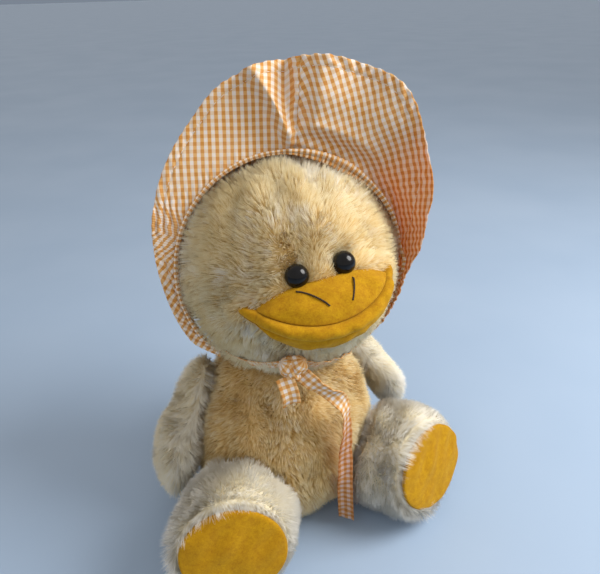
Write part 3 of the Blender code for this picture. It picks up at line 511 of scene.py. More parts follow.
def fur_material(name, colours):
    """Long pile: deep at the root, partly as painted shade down in the pile, and pale at the tip, with paler
    and browner locks.
    """
    root, middle, tip, pale, patch = [colour(*values) for values in colours]
    material, tree, shader = new_material(name)
    marks = add_node(tree, "VertexColor", layer_name="fur")
    height, lock, single = add_node(tree, "SeparateColor", {0: marks.outputs["Color"]}).outputs
    reach = maths(tree, "ADD", height, maths(tree, "MULTIPLY", maths(tree, "SUBTRACT", single, 0.5), 0.25))
    # The root colour is deeper than the tip's, partly as painted shade down in the pile
    ramp = add_node(tree, "ValToRGB", {0: reach})
    stops = ramp.color_ramp.elements
    stops[0].color = root
    stops[1].color = tip
    stops.new(0.45).color = middle
    blend = mixed(tree, ranged(tree, lock, 0.60, 0.95, most=0.75), ramp.outputs[0], pale)
    blend = mixed(tree, ranged(tree, lock, 0.40, 0.10, most=0.35), blend, middle)
    blend = mixed(tree, maths(tree, "MULTIPLY", blotches(tree, 0.045), 0.45), blend, patch, "MULTIPLY")
    set_inputs(shader, {"Base Color": blend, **PILE_SURFACE})
    return let_light_through(material, tree, shader, 0.30, blend)


def two_tone(name, size, deep, light, roughness, gloss=0.5):
    """A plain material with soft patches of two colours."""
    material, tree, shader = new_material(name)
    base = mixed(tree, blotches(tree, size), colour(*deep), colour(*light))
    set_inputs(shader, {"Base Color": base, "Roughness": roughness, "Specular IOR Level": gloss})
    return material


def skin_material(name, deep, light):
    """The woven backing of the pile, seen only between the locks, coloured darker than the pile partly as
    painted shade between the strands.
    """
    return two_tone(name, 0.004, deep, light, 0.95, 0.1)


def felt_material(name, deep, bright):
    """Mustard felt: matted fibres, with browner patches where the pile is rubbed."""
    material, tree, shader = new_material(name)
    place = add_node(tree, "TexCoord").outputs["Object"]
    fibres = noise(tree, place, 900.0, 4.0, 0.65, 0.8)
    matting = noise(tree, place, 260.0, 3.0)
    grain = maths(tree, "ADD", maths(tree, "MULTIPLY", fibres, 0.6), maths(tree, "MULTIPLY", matting, 0.4))
    base = mixed(tree, ranged(tree, grain, 0.30, 0.62), deep, bright)
    base = mixed(tree, maths(tree, "MULTIPLY", blotches(tree, 0.02), 0.25), base, deep)
    bump = add_node(tree, "Bump", {"Height": grain, "Strength": 0.40, "Distance": 0.0004})
    set_inputs(shader, {"Base Color": base, "Normal": bump.outputs[0], **FELT_SURFACE})
    return material


def waves(tree, place, period):
    """A sine wave of a period along a coordinate."""
    return maths(tree, "SINE", maths(tree, "MULTIPLY", place, 2 * math.pi / period))


def gingham_material(name, colours):
    """Woven gingham: white, with stripes both ways that turn full orange where they cross."""
    white, upright, level, full, through = [colour(*values) for values in colours]
    material, tree, shader = new_material(name)
    flat = add_node(tree, "UVMap", uv_map="cloth").outputs[0]
    place = add_node(tree, "SeparateXYZ", {0: flat})
    stripes = [ranged(tree, waves(tree, place.outputs[axis], CHECK), -0.16, 0.16) for axis in (0, 1)]
    base = mixed(tree, stripes[1], mixed(tree, stripes[0], white, upright),
                 mixed(tree, stripes[0], level, full))
    threads = [waves(tree, place.outputs[axis], CHECK / THREADS_PER_CHECK) for axis in (0, 1)]
    weave = maths(tree, "MULTIPLY", *threads)
    base = mixed(tree, ranged(tree, weave, -1.0, 1.0, 0.0, 0.22), base, full)
    base = mixed(tree, maths(tree, "MULTIPLY", blotches(tree, 0.015), 0.10), base, level)
    relief = maths(tree, "ADD", weave, maths(tree, "MULTIPLY", noise(tree, flat, 900.0, 2.0), 1.5))
    bump = add_node(tree, "Bump", {"Height": relief, "Strength": 0.35, "Distance": 0.00012})
    set_inputs(shader, {"Base Color": base, "Normal": bump.outputs[0], **COTTON_SURFACE})
    # The marked extra share of light let through is painted shade: it turns the cloth deeper orange where it
    # is set
    painted_shade = add_node(tree, "VertexColor", layer_name="painted_shade").outputs["Color"]
    share = maths(tree, "ADD", add_node(tree, "SeparateColor", {0: painted_shade}).outputs[0], 0.12)
    return let_light_through(material, tree, shader, share, mixed(tree, 0.65, base, through, "MULTIPLY"))


def eye_material():
    """Polished black plastic, with the faintest scuffs."""
    material = two_tone("eye_gloss", 0.003, (5, 5, 7), (12, 12, 15), 0.5, 0.32)
    tree = material.node_tree
    scuffs = ranged(tree, blotches(tree, 0.002), 0.0, 1.0, 0.10, 0.20)
    set_inputs(tree.nodes["Principled BSDF"], {"Roughness": scuffs})
    return material


def thread_material():
    """Black embroidery thread with its twist."""
    return two_tone("black_thread_twist", 0.0008, (28, 18, 10), (62, 44, 26), 0.75)


def washer_material():
    """Cloudy moulded plastic of the washers inside the head."""
    return two_tone("washer_plastic", 0.004, (214, 212, 205), (232, 231, 226), 0.42)


def stitch_material():
    """Pale sewing thread of the hem."""
    return two_tone("sewing_thread", 0.001, (226, 206, 180), (244, 232, 214), 0.7)


def floor_material():
    """A plain pale surface with the faintest unevenness."""
    return two_tone("pale_floor", 0.3, (154, 175, 201), (160, 180, 205), 0.6, 0.25)


# Stuffed pieces: a skin inside the pile, and the pile itself

def read(items, attribute, kind=float):
    """One three-part attribute of every vertex or triangle, as an array."""
    values = np.empty(len(items) * 3, dtype=kind)
    items.foreach_get(attribute, values)
    return values.reshape(-1, 3)


def mesh_of(node):
    """A CAD node's mesh, read where it stands."""
    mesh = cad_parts[node].data
    return read(mesh.vertices, "co"), [tuple(face.vertices) for face in mesh.polygons]


def surface_of(*nodes):
    """A search tree over the surfaces of CAD nodes."""
    points = []
    faces = []
    for node in nodes:
        more, polygons = mesh_of(node)
        faces += [tuple(k + len(points) for k in face) for face in polygons]
        points += more.tolist()
    return BVHTree.FromPolygons(points, faces)


def distances(tree, points, most):
    """How far each point is from a surface, up to a limit."""
    found = [tree.find_nearest(point, most)[3] for point in points.tolist()]
    return np.array([most if value is None else value for value in found])


def add_skin(node, body, material, shallow_near=(), pile=SKIN_DEPTH, least=0.12, rounding=8):
    """The skin under the pile: the node's shape, a pile's depth smaller, softly lumpy."""
    points, faces = mesh_of(node)
    skin = add_piece(node + "_skin", points, faces, material, None)
    remesh = skin.modifiers.new("remesh", "REMESH")
    remesh.mode = "VOXEL"
    remesh.voxel_size = SKIN_VOXEL
    skin.modifiers.new("soften", "SMOOTH").iterations = rounding
    graph = bpy.context.evaluated_depsgraph_get()
    mesh = bpy.data.meshes.new_from_object(skin.evaluated_get(graph))
    skin.modifiers.clear()
    skin.data = mesh
    mesh.shade_smooth()
    points = read(mesh.vertices, "co")
    normals = read(mesh.vertex_normals, "vector")
    depth = np.full(len(points), pile) * (1.0 + 0.14 * drift(points, 0.035, 3))
    if shallow_near:
        near = distances(surface_of(*shallow_near), points, 0.02)
        depth *= least + (1.0 - least) * smooth((near - 0.003) / 0.008)
    mesh.vertices.foreach_set("co", (points - normals * depth[:, None]).ravel())
    mesh.update()
    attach(skin, body)
    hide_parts(node)
    return skin


def scatter(skin, count, rng):
    """Even random places on a skin, with the skin's direction outwards there."""
    mesh = skin.data
    mesh.calc_loop_triangles()
    points = read(mesh.vertices, "co")
    normals = read(mesh.vertex_normals, "vector")
    a, b, c = read(mesh.loop_triangles, "vertices", np.int32).T
    area = np.linalg.norm(np.cross(points[b] - points[a], points[c] - points[a]), axis=1)
    pick = rng.choice(len(area), count, p=area / area.sum())
    u, v = rng.random((2, count))
    over = u + v > 1.0
    u[over] = 1.0 - u[over]
    v[over] = 1.0 - v[over]
    a, b, c = a[pick], b[pick], c[pick]
    u, v = u[:, None], v[:, None]
    roots = points[a] + u * (points[b] - points[a]) + v * (points[c] - points[a])
    return roots, unit(normals[a] + u * (normals[b] - normals[a]) + v * (normals[c] - normals[a]))


def nearest_clump(roots, centres):
    """For each root, the number of the nearest of the chosen roots."""
    tree = kdtree.KDTree(len(centres))
    for k, centre in enumerate(roots[centres].tolist()):
        tree.insert(centre, k)
    tree.balance()
    return np.array([tree.find(root)[1] for root in roots.tolist()])


def turned(vectors, axes, angles):
    """Vectors turned about axes square to them."""
    angles = angles[:, None]
    return np.cos(angles) * vectors + np.sin(angles) * np.cross(axes, vectors)


def grow(roots, normals, ways, rng, length, seed):
    """The curves of the strands, gathered in locks, and each lock's tone; length is one per strand."""
    count = len(roots)
    ways = unit(ways)
    ways = ways - (ways * normals).sum(1)[:, None] * normals
    lean = smooth(np.linalg.norm(ways, axis=1) / 0.40)[:, None]
    ways = unit(ways)
    wander = 0.45 * drift(roots, 0.040, seed) + 0.22 * drift(roots, 0.014, seed + 1)
    centres = rng.choice(count, max(count // STRANDS_PER_CLUMP, 1), replace=False)
    lock = nearest_clump(roots, centres)
    lock_turn = rng.normal(0.0, LOCK_TURN, len(centres))
    lock_lift = rng.normal(0.0, LOCK_LIFT, len(centres))
    lock_length = rng.normal(1.0, LOCK_UNEVENNESS, len(centres))
    lock_tone = rng.normal(0.0, 1.0, len(centres))
    turn = wander + lock_turn[lock] + rng.normal(0.0, SINGLE_TURN, count)
    ways = turned(ways, normals, turn)
    lift = STRAND_LIFT + lock_lift[lock] + rng.normal(0.0, SINGLE_LIFT, count)
    lift += 0.10 * drift(roots, 0.022, seed + 2)
    reach = length * np.clip(lock_length[lock] + rng.normal(0.0, SINGLE_UNEVENNESS, count), 0.55, 1.35)
    rise = np.sin(lift)[:, None]
    run = np.cos(lift)[:, None]
    levels = []
    for share in LEVEL_SHARES:
        up = rise * share - STRAND_SAG * lean * share**2
        forth = lean * (run * share + STRAND_BEND * share**2)
        levels.append(roots + reach[:, None] * (up * normals + forth * ways))
    strands = np.stack(levels, 1)
    pull = np.clip(0.12 + 0.20 * drift(roots, 0.024, seed + 3), 0.0, 0.50)
    for level, share in enumerate(LEVEL_SHARES):
        target = strands[centres[lock], level]
        strands[:, level] += (pull * share**1.4)[:, None] * (target - strands[:, level])
    return strands, lock_tone[lock]


def add_strands(name, body, strands, normals, tone, rng, material):
    """Tapered ribbons along the strands, as one mesh piece, marked with height, lock and strand."""
    count = len(strands)
    level = np.array(STRAND_POINT_LEVELS)
    corners = np.array(STRAND_CORNERS, dtype=np.int32)
    starts = np.array(STRAND_FACE_STARTS, dtype=np.int32)
    number = np.arange(count, dtype=np.int32)[:, None]
    tangents = unit(np.gradient(strands, axis=1))
    upward = normals[:, None, :]
    side = unit(np.cross(tangents, upward))
    over = np.cross(side, tangents)
    roll = rng.normal(0.0, 0.5, count)[:, None, None]
    side = np.cos(roll) * side + np.sin(roll) * over
    half = 0.5 * STRAND_WIDTH * rng.uniform(0.75, 1.3, count)
    points = np.empty((count, len(level), 3))
    for k, share in enumerate(LEVEL_WIDTH_SHARES):
        offset = (half * share)[:, None] * side[:, k]
        points[:, 2 * k] = strands[:, k] - offset
        points[:, 2 * k + 1] = strands[:, k] + offset
    points[:, -1] = strands[:, -1]
    loops = (number * len(level) + corners).ravel()
    mesh = bpy.data.meshes.new(name)
    mesh.vertices.add(count * len(level))
    mesh.loops.add(len(loops))
    mesh.polygons.add(count * len(starts))
    mesh.vertices.foreach_set("co", points.astype(np.float32).ravel())
    mesh.loops.foreach_set("vertex_index", loops)
    mesh.polygons.foreach_set("loop_start", (number * len(corners) + starts).ravel())
    mesh.polygons.foreach_set("use_smooth", np.ones(count * len(starts), dtype=bool))
    mesh.update(calc_edges=True)

    marks = np.ones((count, len(level), 4), dtype=np.float32)
    marks[:, :, 0] = np.array(LEVEL_SHARES)[level]
    marks[:, :, 1] = np.clip(0.5 + 0.15 * tone + rng.normal(0.0, 0.04, count), 0.0, 1.0)[:, None]
    marks[:, :, 2] = rng.random(count)[:, None]
    mark(mesh, "fur", marks)

    # Each strand has a cell of its own on the sheet for a later bake
    cells = math.ceil(math.sqrt(count))
    places = np.empty((count, len(level), 2), dtype=np.float32)
    places[:, :, 0] = ((number % cells) + 0.15) / cells + np.array((0, 1, 0, 1, 0, 1, 0.5)) * 0.7 / cells
    places[:, :, 1] = ((number // cells) + 0.1) / cells + np.array(LEVEL_SHARES)[level] * 0.8 / cells
    sheet = mesh.uv_layers.new(name="OFBake")
    sheet.data.foreach_set("uv", places.reshape(-1, 2)[loops].ravel())

    soft = unit(upward - (upward * tangents).sum(-1)[:, :, None] * tangents)
    soft = unit(0.15 * soft + 0.85 * upward)
    mesh.normals_split_custom_set_from_vertices(soft[:, level].reshape(-1, 3).tolist())
    mesh.materials.append(material)
    piece = add_object(name, mesh)
    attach(piece, body)


def add_fur(node, body, skin, count, flow, trim, material):
    """The pile of one stuffed piece, as one or more meshes of strands.

    flow gives the way the pile is combed at each root. trim gives its length as a share, 0 where
    nothing grows, and how much paler its locks are.
    """
    seed = SEED + sum(ord(letter) for letter in node)
    rng = np.random.default_rng(seed)
    roots, normals = scatter(skin, count, rng)
    share, paler = trim(roots, normals)
    good = share > 0.05
    roots = roots[good]
    normals = normals[good]
    strands, tone = grow(roots, normals, flow(roots, normals), rng, STRAND_LENGTH * share[good], seed)
    tone = tone + paler[good]
    parts = math.ceil(len(roots) / STRANDS_PER_PIECE)
    for part in range(parts):
        chosen = slice(part, None, parts)
        add_strands("%s_fur_%d" % (node, part + 1), body, strands[chosen], normals[chosen], tone[chosen],
                    rng, material)


def near_share(surface, points, nearest, full, least):
    """The pile's length share by a neighbour: 0 up to the nearest place, then from least to 1."""
    away = distances(surface, points, full + 0.005)
    return (away > nearest) * (least + (1.0 - least) * smooth((away - nearest) / (full - nearest)))


def build_head_fur(skin_look, fur_look):
    """The head's pile, combed away from the bill and short where the bonnet holds it down."""
    skin = add_skin("head", "head", skin_look, ("bill_upper", "bill_lower"))
    felt = surface_of("bill_upper", "bill_lower")
    straps = surface_of("tie_strap_right", "tie_strap_left")
    knot = surface_of("tie_knot")
    eyes = surface_of("eye_right", "eye_left")
    chest = surface_of("torso")
    to_bonnet = BONNET_FRAME.inverted()
    mouth = np.array(FACE_FRAME @ Vector((0.0, -HEAD_DEPTH / 2, GROOVE_HEIGHT)))

    def flow(roots, normals):
        away = unit(roots - mouth)
        away[:, 2] -= 0.30
        return away

    def trim(roots, normals):
        local = moved(to_bonnet, roots)
        angle = np.arctan2(local[:, 0], local[:, 2])
        ahead = -local[:, 1] - seam_forward(angle)
        share = near_share(felt, roots, *NEAR_FELT)
        share *= near_share(knot, roots, *NEAR_KNOT)
        share *= 1.0 + 0.28 * bell(distances(straps, roots, 0.03) / 0.009)
        share *= near_share(eyes, roots, *NEAR_EYES)
        share *= near_share(chest, roots, *NEAR_CHEST)
        share *= 0.70 + 0.35 * smooth((ahead + 0.004) / 0.005)
        share *= 1.0 + 0.42 * bell((ahead - 0.004) / 0.006)
        jaw = smooth((np.abs(np.degrees(angle)) - 95.0) / 15.0)
        share *= (ahead > -0.009 - 0.025 * jaw) & (roots[:, 2] > NECK_HEIGHT + 0.002)
        paler = 0.9 * drift(roots, 0.045, 81) + 0.5 * drift(roots, 0.018, 82)
        return share, paler

    add_fur("head", "head", skin, HEAD_STRANDS, flow, trim, fur_look)


def build_torso_fur(skin_look, fur_look):
    """The torso's pile, combed down."""
    skin = add_skin("torso", "torso", skin_look)
    limbs = surface_of("leg_right", "leg_left", "wing_right", "wing_left", "head")

    def flow(roots, normals):
        return np.tile((0.0, 0.0, -1.0), (len(roots), 1)) + 0.15 * normals

    def trim(roots, normals):
        share = near_share(limbs, roots, *NEAR_LIMBS)
        share *= 0.45 + 0.55 * smooth((roots[:, 2] - 0.003) / 0.006)
        share *= roots[:, 2] > 0.0035
        return share, 0.7 * drift(roots, 0.05, 83) - 0.2

    add_fur("torso", "torso", skin, TORSO_STRANDS, flow, trim, fur_look)


def build_tail_fur(skin_look, fur_look):
    """The tail's tuft, combed to its tip."""
    skin = add_skin("tail", "torso", skin_look, (), TAIL_SKIN_DEPTH)
    body = surface_of("torso")

    def flow(roots, normals):
        return np.tile((0.0, 0.85, 0.5), (len(roots), 1))

    def trim(roots, normals):
        return near_share(body, roots, *NEAR_BODY), np.zeros(len(roots))

    add_fur("tail", "torso", skin, TAIL_STRANDS, flow, trim, fur_look)


def build_wing_fur(side, skin_look, fur_look):
    """A wing's pile, combed down to the tip, with a longer, paler fringe along its front edge."""
    node = "wing_" + side
    skin = add_skin(node, node, skin_look)
    body = surface_of("torso")

    def flow(roots, normals):
        return np.tile((0.0, -0.30, -1.0), (len(roots), 1))

    def trim(roots, normals):
        share = near_share(body, roots, *NEAR_BODY)
        fringe = smooth((-normals[:, 1] - 0.20) / 0.45)
        return share * (1.0 + 0.45 * fringe), 2.8 * fringe - 0.2 + 0.8 * drift(roots, 0.03, 84)

    add_fur(node, node, skin, WING_STRANDS, flow, trim, fur_look)


def sole_frame(name):
    """The place of a sole's centre and its frame: X across, Y up the sole, Z out of it."""
    turn = SIDES[name] * LEG_SPLAY
    centre = Vector((SIDES[name] * SOLE_SIDES[name], -SOLE_FORWARD, SOLE_CENTRE_HEIGHT))
    outward = direction(turn, SOLE_TILT)
    across = Vector((math.cos(turn), math.sin(turn), 0.0))
    return frame_from(across, outward.cross(across), outward, centre)


def build_leg_fur(name, skin_look, fur_look):
    """A boot's pile, combed towards its sole and over the sole's edge."""
    node = "leg_" + name
    skin = add_skin(node, node, skin_look, ("sole_" + name,), least=0.55, rounding=26)
    body = surface_of("torso")
    place = sole_frame(name)
    to_sole = place.inverted()
    outward = np.array(place.col[2][:3])

    def flow(roots, normals):
        local = moved(to_sole, roots)
        rim = smooth((local[:, 2] + 0.018) / 0.018)[:, None]
        inward = unit(moved(place, local * (0.0, 0.0, 1.0)) - roots)
        return outward + 0.75 * rim * inward + np.array((0.0, 0.0, -0.10))

    def trim(roots, normals):
        local = moved(to_sole, roots)
        inside = (local[:, 0] / SOLE_HALF_WIDTH) ** 2 + (local[:, 1] / SOLE_HALF_HEIGHT) ** 2
        rim = smooth((local[:, 2] + 0.022) / 0.020)
        combed_over = smooth(0.5 - local[:, 0] / 0.05)
        share = 1.0 - rim * (0.35 - 0.90 * combed_over)
        share *= (local[:, 2] < -0.004) | (inside > 1.0)
        share *= near_share(body, roots, *NEAR_BODY)
        share *= 0.40 + 0.60 * smooth((roots[:, 2] - 0.002) / 0.007)
        share *= roots[:, 2] > 0.0022
        return share, 0.8 * rim + 0.7 * drift(roots, 0.035, 85)

    add_fur(node, node, skin, LEG_STRANDS, flow, trim, fur_look)


# The face

def head_surface(x, z, clearance=0.0):
    """Points of the head ball in front of places in the face's own frame."""
    half = np.array((HEAD_WIDTH, HEAD_DEPTH, HEAD_HEIGHT)) / 2 + clearance
    inside = np.maximum(1.0 - (x / half[0]) ** 2 - (z / half[2]) ** 2, 0.0)
    return np.stack([x, -half[1] * np.sqrt(inside), z], -1)


def pad_top(s):
    """The seam of the upper bill on the forehead."""
    height = BILL_TOP_HEIGHT + (BILL_CORNER_HEIGHT - BILL_TOP_HEIGHT) * np.abs(s) ** 3
    return head_surface(BILL_HALF_WIDTH * s, height, BILL_SKIN_LIFT)


def groove(s):
    """The mouth line between the upper pad and the lower bill."""
    corner = head_surface(np.array(BILL_HALF_WIDTH), np.array(BILL_CORNER_HEIGHT), BILL_SKIN_LIFT)
    forward = np.sqrt(1.0 - s * s)
    height = GROOVE_HEIGHT + (BILL_CORNER_HEIGHT - GROOVE_HEIGHT) * s * s
    return np.stack([BILL_HALF_WIDTH * s, corner[1] - GROOVE_REACH * forward, height], -1)


def pad_surface(s, t, lift=0.0):
    """Points of the upper bill, t from the forehead seam to the mouth line."""
    s, t = np.broadcast_arrays(s, t)
    top = pad_top(s)
    point = top + (groove(s) - top) * t[..., None]
    swell = (PAD_BULGE * np.sqrt(1.0 - s * s) + BILL_SKIN_LIFT) * np.sin(math.pi * t) ** 0.8 + lift
    return point + swell[..., None] * unit(point)


def across_bill(count):
    """Even places across the bill, closer together at its corners."""
    return BILL_END_SHARE * np.sin(math.pi * (np.arange(count) / (count - 1) - 0.5))


def closed_rings(rings):
    """The faces that close a row of rings of equal count, with flat ends."""
    rows, columns = rings.shape[:2]
    faces = grid_faces(rows, columns, closed=True).tolist()
    faces.append(list(range(columns))[::-1])
    faces.append([(rows - 1) * columns + k for k in range(columns)])
    return faces


def build_pad(look):
    """The felt upper bill, softly dimpled."""
    s = across_bill(150)[:, None]
    t = (np.arange(70) / 69.0)[None, :]
    front = pad_surface(s, t)
    dimples = 0.0005 * drift(front, 0.016, 21) * np.sin(math.pi * t)
    front = front + dimples[..., None] * unit(front)
    rings = np.concatenate([front, BILL_ROOT_SHARE * front[:, -1:], BILL_ROOT_SHARE * front[:, :1]], 1)
    piece = add_piece("bill_pad", moved(FACE_FRAME, rings), closed_rings(rings), look, "head")
    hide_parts("bill_upper")


def bowl_sections(s):
    """Sections of the lower bill: the rolled rim, the crease under it and the bowl."""
    taper = RIM_TAPER_SHARE + (1.0 - RIM_TAPER_SHARE) * np.sqrt(1.0 - s * s)
    mouth = groove(s)
    ray = unit(mouth)
    ahead = np.minimum(s + 0.02, BILL_END_SHARE)
    behind = np.maximum(s - 0.02, -BILL_END_SHARE)
    outward = np.cross(groove(ahead) - groove(behind), ray)
    outward = unit(outward - (outward * ray).sum(-1)[:, None] * ray)
    edge = mouth + MOUTH_GAP * outward
    radius = (RIM_RADIUS * taper)[:, None]
    centre = edge + RIM_STANDOFF * ray + radius * outward
    points = [edge]
    for k in range(19):
        a = math.radians(172.0) * k / 18
        points.append(centre + radius * (math.sin(a) * ray - math.cos(a) * outward))
    depth = (1.0 - np.abs(s) ** 2.6) ** 0.8
    height = BOWL_CORNER_HEIGHT + (BOWL_BOTTOM_HEIGHT - BOWL_CORNER_HEIGHT) * depth
    chin = head_surface(BILL_HALF_WIDTH * s, height)
    crease = centre + 0.92 * radius * outward - 2.2 * RIM_STANDOFF * ray
    for t in np.linspace(0.06, 0.97, 22):
        point = crease + (chin - crease) * t
        swell = BOWL_BULGE * taper * math.sin(math.pi * t) + BILL_SKIN_LIFT
        points.append(point + swell[:, None] * unit(point))
    points.append(BILL_ROOT_SHARE * chin)
    points.append(BILL_ROOT_SHARE * edge)
    return np.stack(points, 1)


def rim_tips(section, side):
    """Sections that carry the rolled rim past the pad's corner to a small tab on the cheek."""
    corner = section[0]
    way = head_surface(corner[0] + side * RIM_TIP_LENGTH, corner[2] + RIM_TIP_RISE) - corner
    middle = section.mean(0)
    middle = middle / np.linalg.norm(middle) * np.linalg.norm(corner)
    tips = []
    for share in np.linspace(0.12, 1.0, 9):
        size = 0.15 + 0.85 * math.sqrt(max(1.0 - share**2.2, 0.0))
        tips.append(middle + size * (section - middle) + share * way)
    return np.array(tips)


def build_bowl(look):
    """The felt lower bill with its rolled rim, like a wide smile."""
    sections = bowl_sections(across_bill(150))
    sections = np.concatenate([rim_tips(sections[0], -1.0)[::-1], sections, rim_tips(sections[-1], 1.0)])
    dimples = 0.0004 * drift(sections, 0.014, 26)
    sections = sections + dimples[..., None] * unit(sections)
    piece = add_piece("bill_bowl", moved(FACE_FRAME, sections), closed_rings(sections), look, "head")
    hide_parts("bill_lower")


def tube(path, radius, sides):
    """A closed round tube along points."""
    tangents = unit(np.gradient(path, axis=0))
    side = np.array((0.0, 0.0, 1.0))
    rings = []
    for point, tangent, width in zip(path, tangents, np.broadcast_to(radius, len(path))):
        side = unit(side - (side @ tangent) * tangent)
        other = np.cross(tangent, side)
        angles = 2 * math.pi * np.arange(sides) / sides
        rings.append(point + width * (np.cos(angles)[:, None] * side + np.sin(angles)[:, None] * other))
    return np.array(rings)


def build_nostrils(look):
    """The two embroidered lines, each a two-ply twist with its ends sunk in the felt."""
    steps = np.linspace(0.0, 1.0, 90)
    sink = -0.0022 * (smooth(1.0 - steps / 0.06) + smooth((steps - 0.94) / 0.06))
    for name, table in (("right", NOSTRIL_RIGHT_SHARES), ("left", NOSTRIL_LEFT_SHARES)):
        s, t = run_through(table, steps)
        path = pad_surface(s, t, THREAD_RADIUS * 1.3 + sink)
        across = unit(np.cross(np.gradient(path, axis=0), path))
        up = unit(path)
        rings = []
        for ply in (0.0, math.pi):
            turn = ply + 2 * math.pi * THREAD_TURNS * steps
            offset = np.cos(turn)[:, None] * across + np.sin(turn)[:, None] * up
            rings.append(tube(path + 0.5 * THREAD_RADIUS * offset, 0.62 * THREAD_RADIUS, 8))
        faces = closed_rings(rings[0])
        second = [[k + rings[0].size // 3 for k in face] for face in faces]
        points = np.concatenate([moved(FACE_FRAME, ring.reshape(-1, 3)) for ring in rings])
        piece = add_piece("nostril_" + name, points, faces + second, look, "head")
        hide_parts("nostril_thread_" + name)


def turned_rings(outline, sides):
    """Rings of a turned body from (radius, height) pairs."""
    angles = 2 * math.pi * np.arange(sides) / sides
    radius, height = np.array(outline).T[:, :, None]
    return stacked(radius * np.cos(angles), radius * np.sin(angles), height)


def build_eyes(look):
    """The two domed safety eyes with their flanges and shanks."""
    base = -EYE_SEAT_DEPTH
    outline = [(0.0002, base - SHANK_LENGTH), (SHANK_RADIUS * 0.7, base - SHANK_LENGTH),
               (SHANK_RADIUS, base - SHANK_LENGTH * 0.93)]
    outline += [(SHANK_RADIUS * (0.90 + 0.10 * (k % 2)), base - SHANK_LENGTH * (0.85 - 0.08 * k))
                for k in range(9)]
    outline += [(SHANK_RADIUS, base), (EYE_RADIUS * 0.97, base), (EYE_RADIUS, base + 0.0003)]
    for k in range(25):
        a = math.pi / 2 * k / 24
        outline.append((max(EYE_RADIUS * math.cos(a), 0.00002),
                        base + EYE_FLANGE_THICKNESS + EYE_DOME_HEIGHT * math.sin(a)))
    rings = turned_rings(outline, 56)
    for name, side in SIDES.items():
        seat = Vector(head_surface(np.array(side * EYE_SPACING / 2), np.array(EYE_HEIGHT)))
        place = FACE_FRAME @ Matrix.Translation(seat) @ seat.to_track_quat("Z", "Y").to_matrix().to_4x4()
        piece = add_piece("eye_dome_" + name, moved(place, rings), closed_rings(rings), look, "head")
        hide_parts("eye_" + name)


def build_soles(look):
    """The two felt soles, softly crowned, with a turned-in edge."""
    outline = [(0.05, 0.0), (0.5, 0.0), (0.90, 0.0)]
    outline += [(0.97 + 0.03 * math.sin(a), SOLE_THICKNESS * (0.5 - 0.5 * math.cos(a)))
                for a in np.linspace(0.2, math.pi, 9)]
    outline += [(share, SOLE_THICKNESS + SOLE_CROWN * (1.0 - share**2) ** 0.8)
                for share in np.linspace(0.95, 0.002, 60)]
    rings = turned_rings(outline, 160) * (SOLE_HALF_WIDTH, SOLE_HALF_HEIGHT, 1.0)
    rings[..., 2] += 0.0004 * drift(rings, 0.018, 31) * (rings[..., 2] > 0.001)
    for name in SIDES:
        points = moved(sole_frame(name), rings)
        piece = add_piece("sole_felt_" + name, points, closed_rings(rings), look, "leg_" + name)
        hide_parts("sole_" + name)


# The bonnet

def bonnet_point(angle, radius, forward):
    """Points in the bonnet's frame: an angle from the top, a radius and a way forward."""
    return stacked(radius * np.sin(angle), -forward, radius * np.cos(angle))


def seam_forward(angle):
    """How far forward the seam of brim and crown lies."""
    return SEAM_FORWARD - SEAM_SETBACK * along(SEAM_SETBACK_SHARES, angle / math.pi)


def brim_width(angle):
    """The brim's width at an angle from the top."""
    width = BRIM_WIDTH * along(BRIM_WIDTH_SHARES, angle / math.pi)
    far_jaw = smooth((np.degrees(angle) - 84.0) / 14.0)
    ending = smooth((math.degrees(BRIM_END) - np.abs(np.degrees(angle))) / 16.0)
    return width * (1.0 - 0.55 * far_jaw) * (0.40 + 0.60 * ending)


def brim_forward(angle, t):
    """How far forward the brim's cloth lies, t from the crown seam to the outer edge."""
    degrees = np.degrees(angle)
    width = brim_width(angle)
    inner = t * width
    lean = BRIM_LEAN * along(BRIM_LEAN_SHARES, angle / math.pi)
    right = smooth((degrees - 4.0) / 8.0)
    band = np.minimum(BAND_WIDTH / width, 0.40)
    kinked = np.where(t < band, -0.14 * smooth(t / band), 1.14 * (t - band) / (1.0 - band) - 0.14)
    forward = seam_forward(angle) + lean * ((1.0 - right) * t**1.3 + right * kinked)
    forward += BAND_STEP * (smooth((inner - BAND_WIDTH) / 0.008) * right * smooth((48.0 - degrees) / 20.0))
    ridge = bell((inner - BAND_WIDTH * 0.55) / 0.006)
    forward += BAND_RIDGE * right * ridge * smooth((44.0 - degrees) / 14.0)
    flank = 1.5 - 12.5 * t
    step = smooth(0.5 + (degrees - flank) / 4.2)
    forward += FLANK_STEP * step * np.exp(-np.maximum(degrees - flank - 2.1, 0.0) / 5.0) * smooth(t / 0.25)
    second = smooth(0.5 + (degrees - 3.0) / 3.0) * np.exp(-np.maximum(degrees - 5.0, 0.0) / 11.0)
    return forward + SECOND_STEP * second * smooth((t - 0.30) / 0.35)


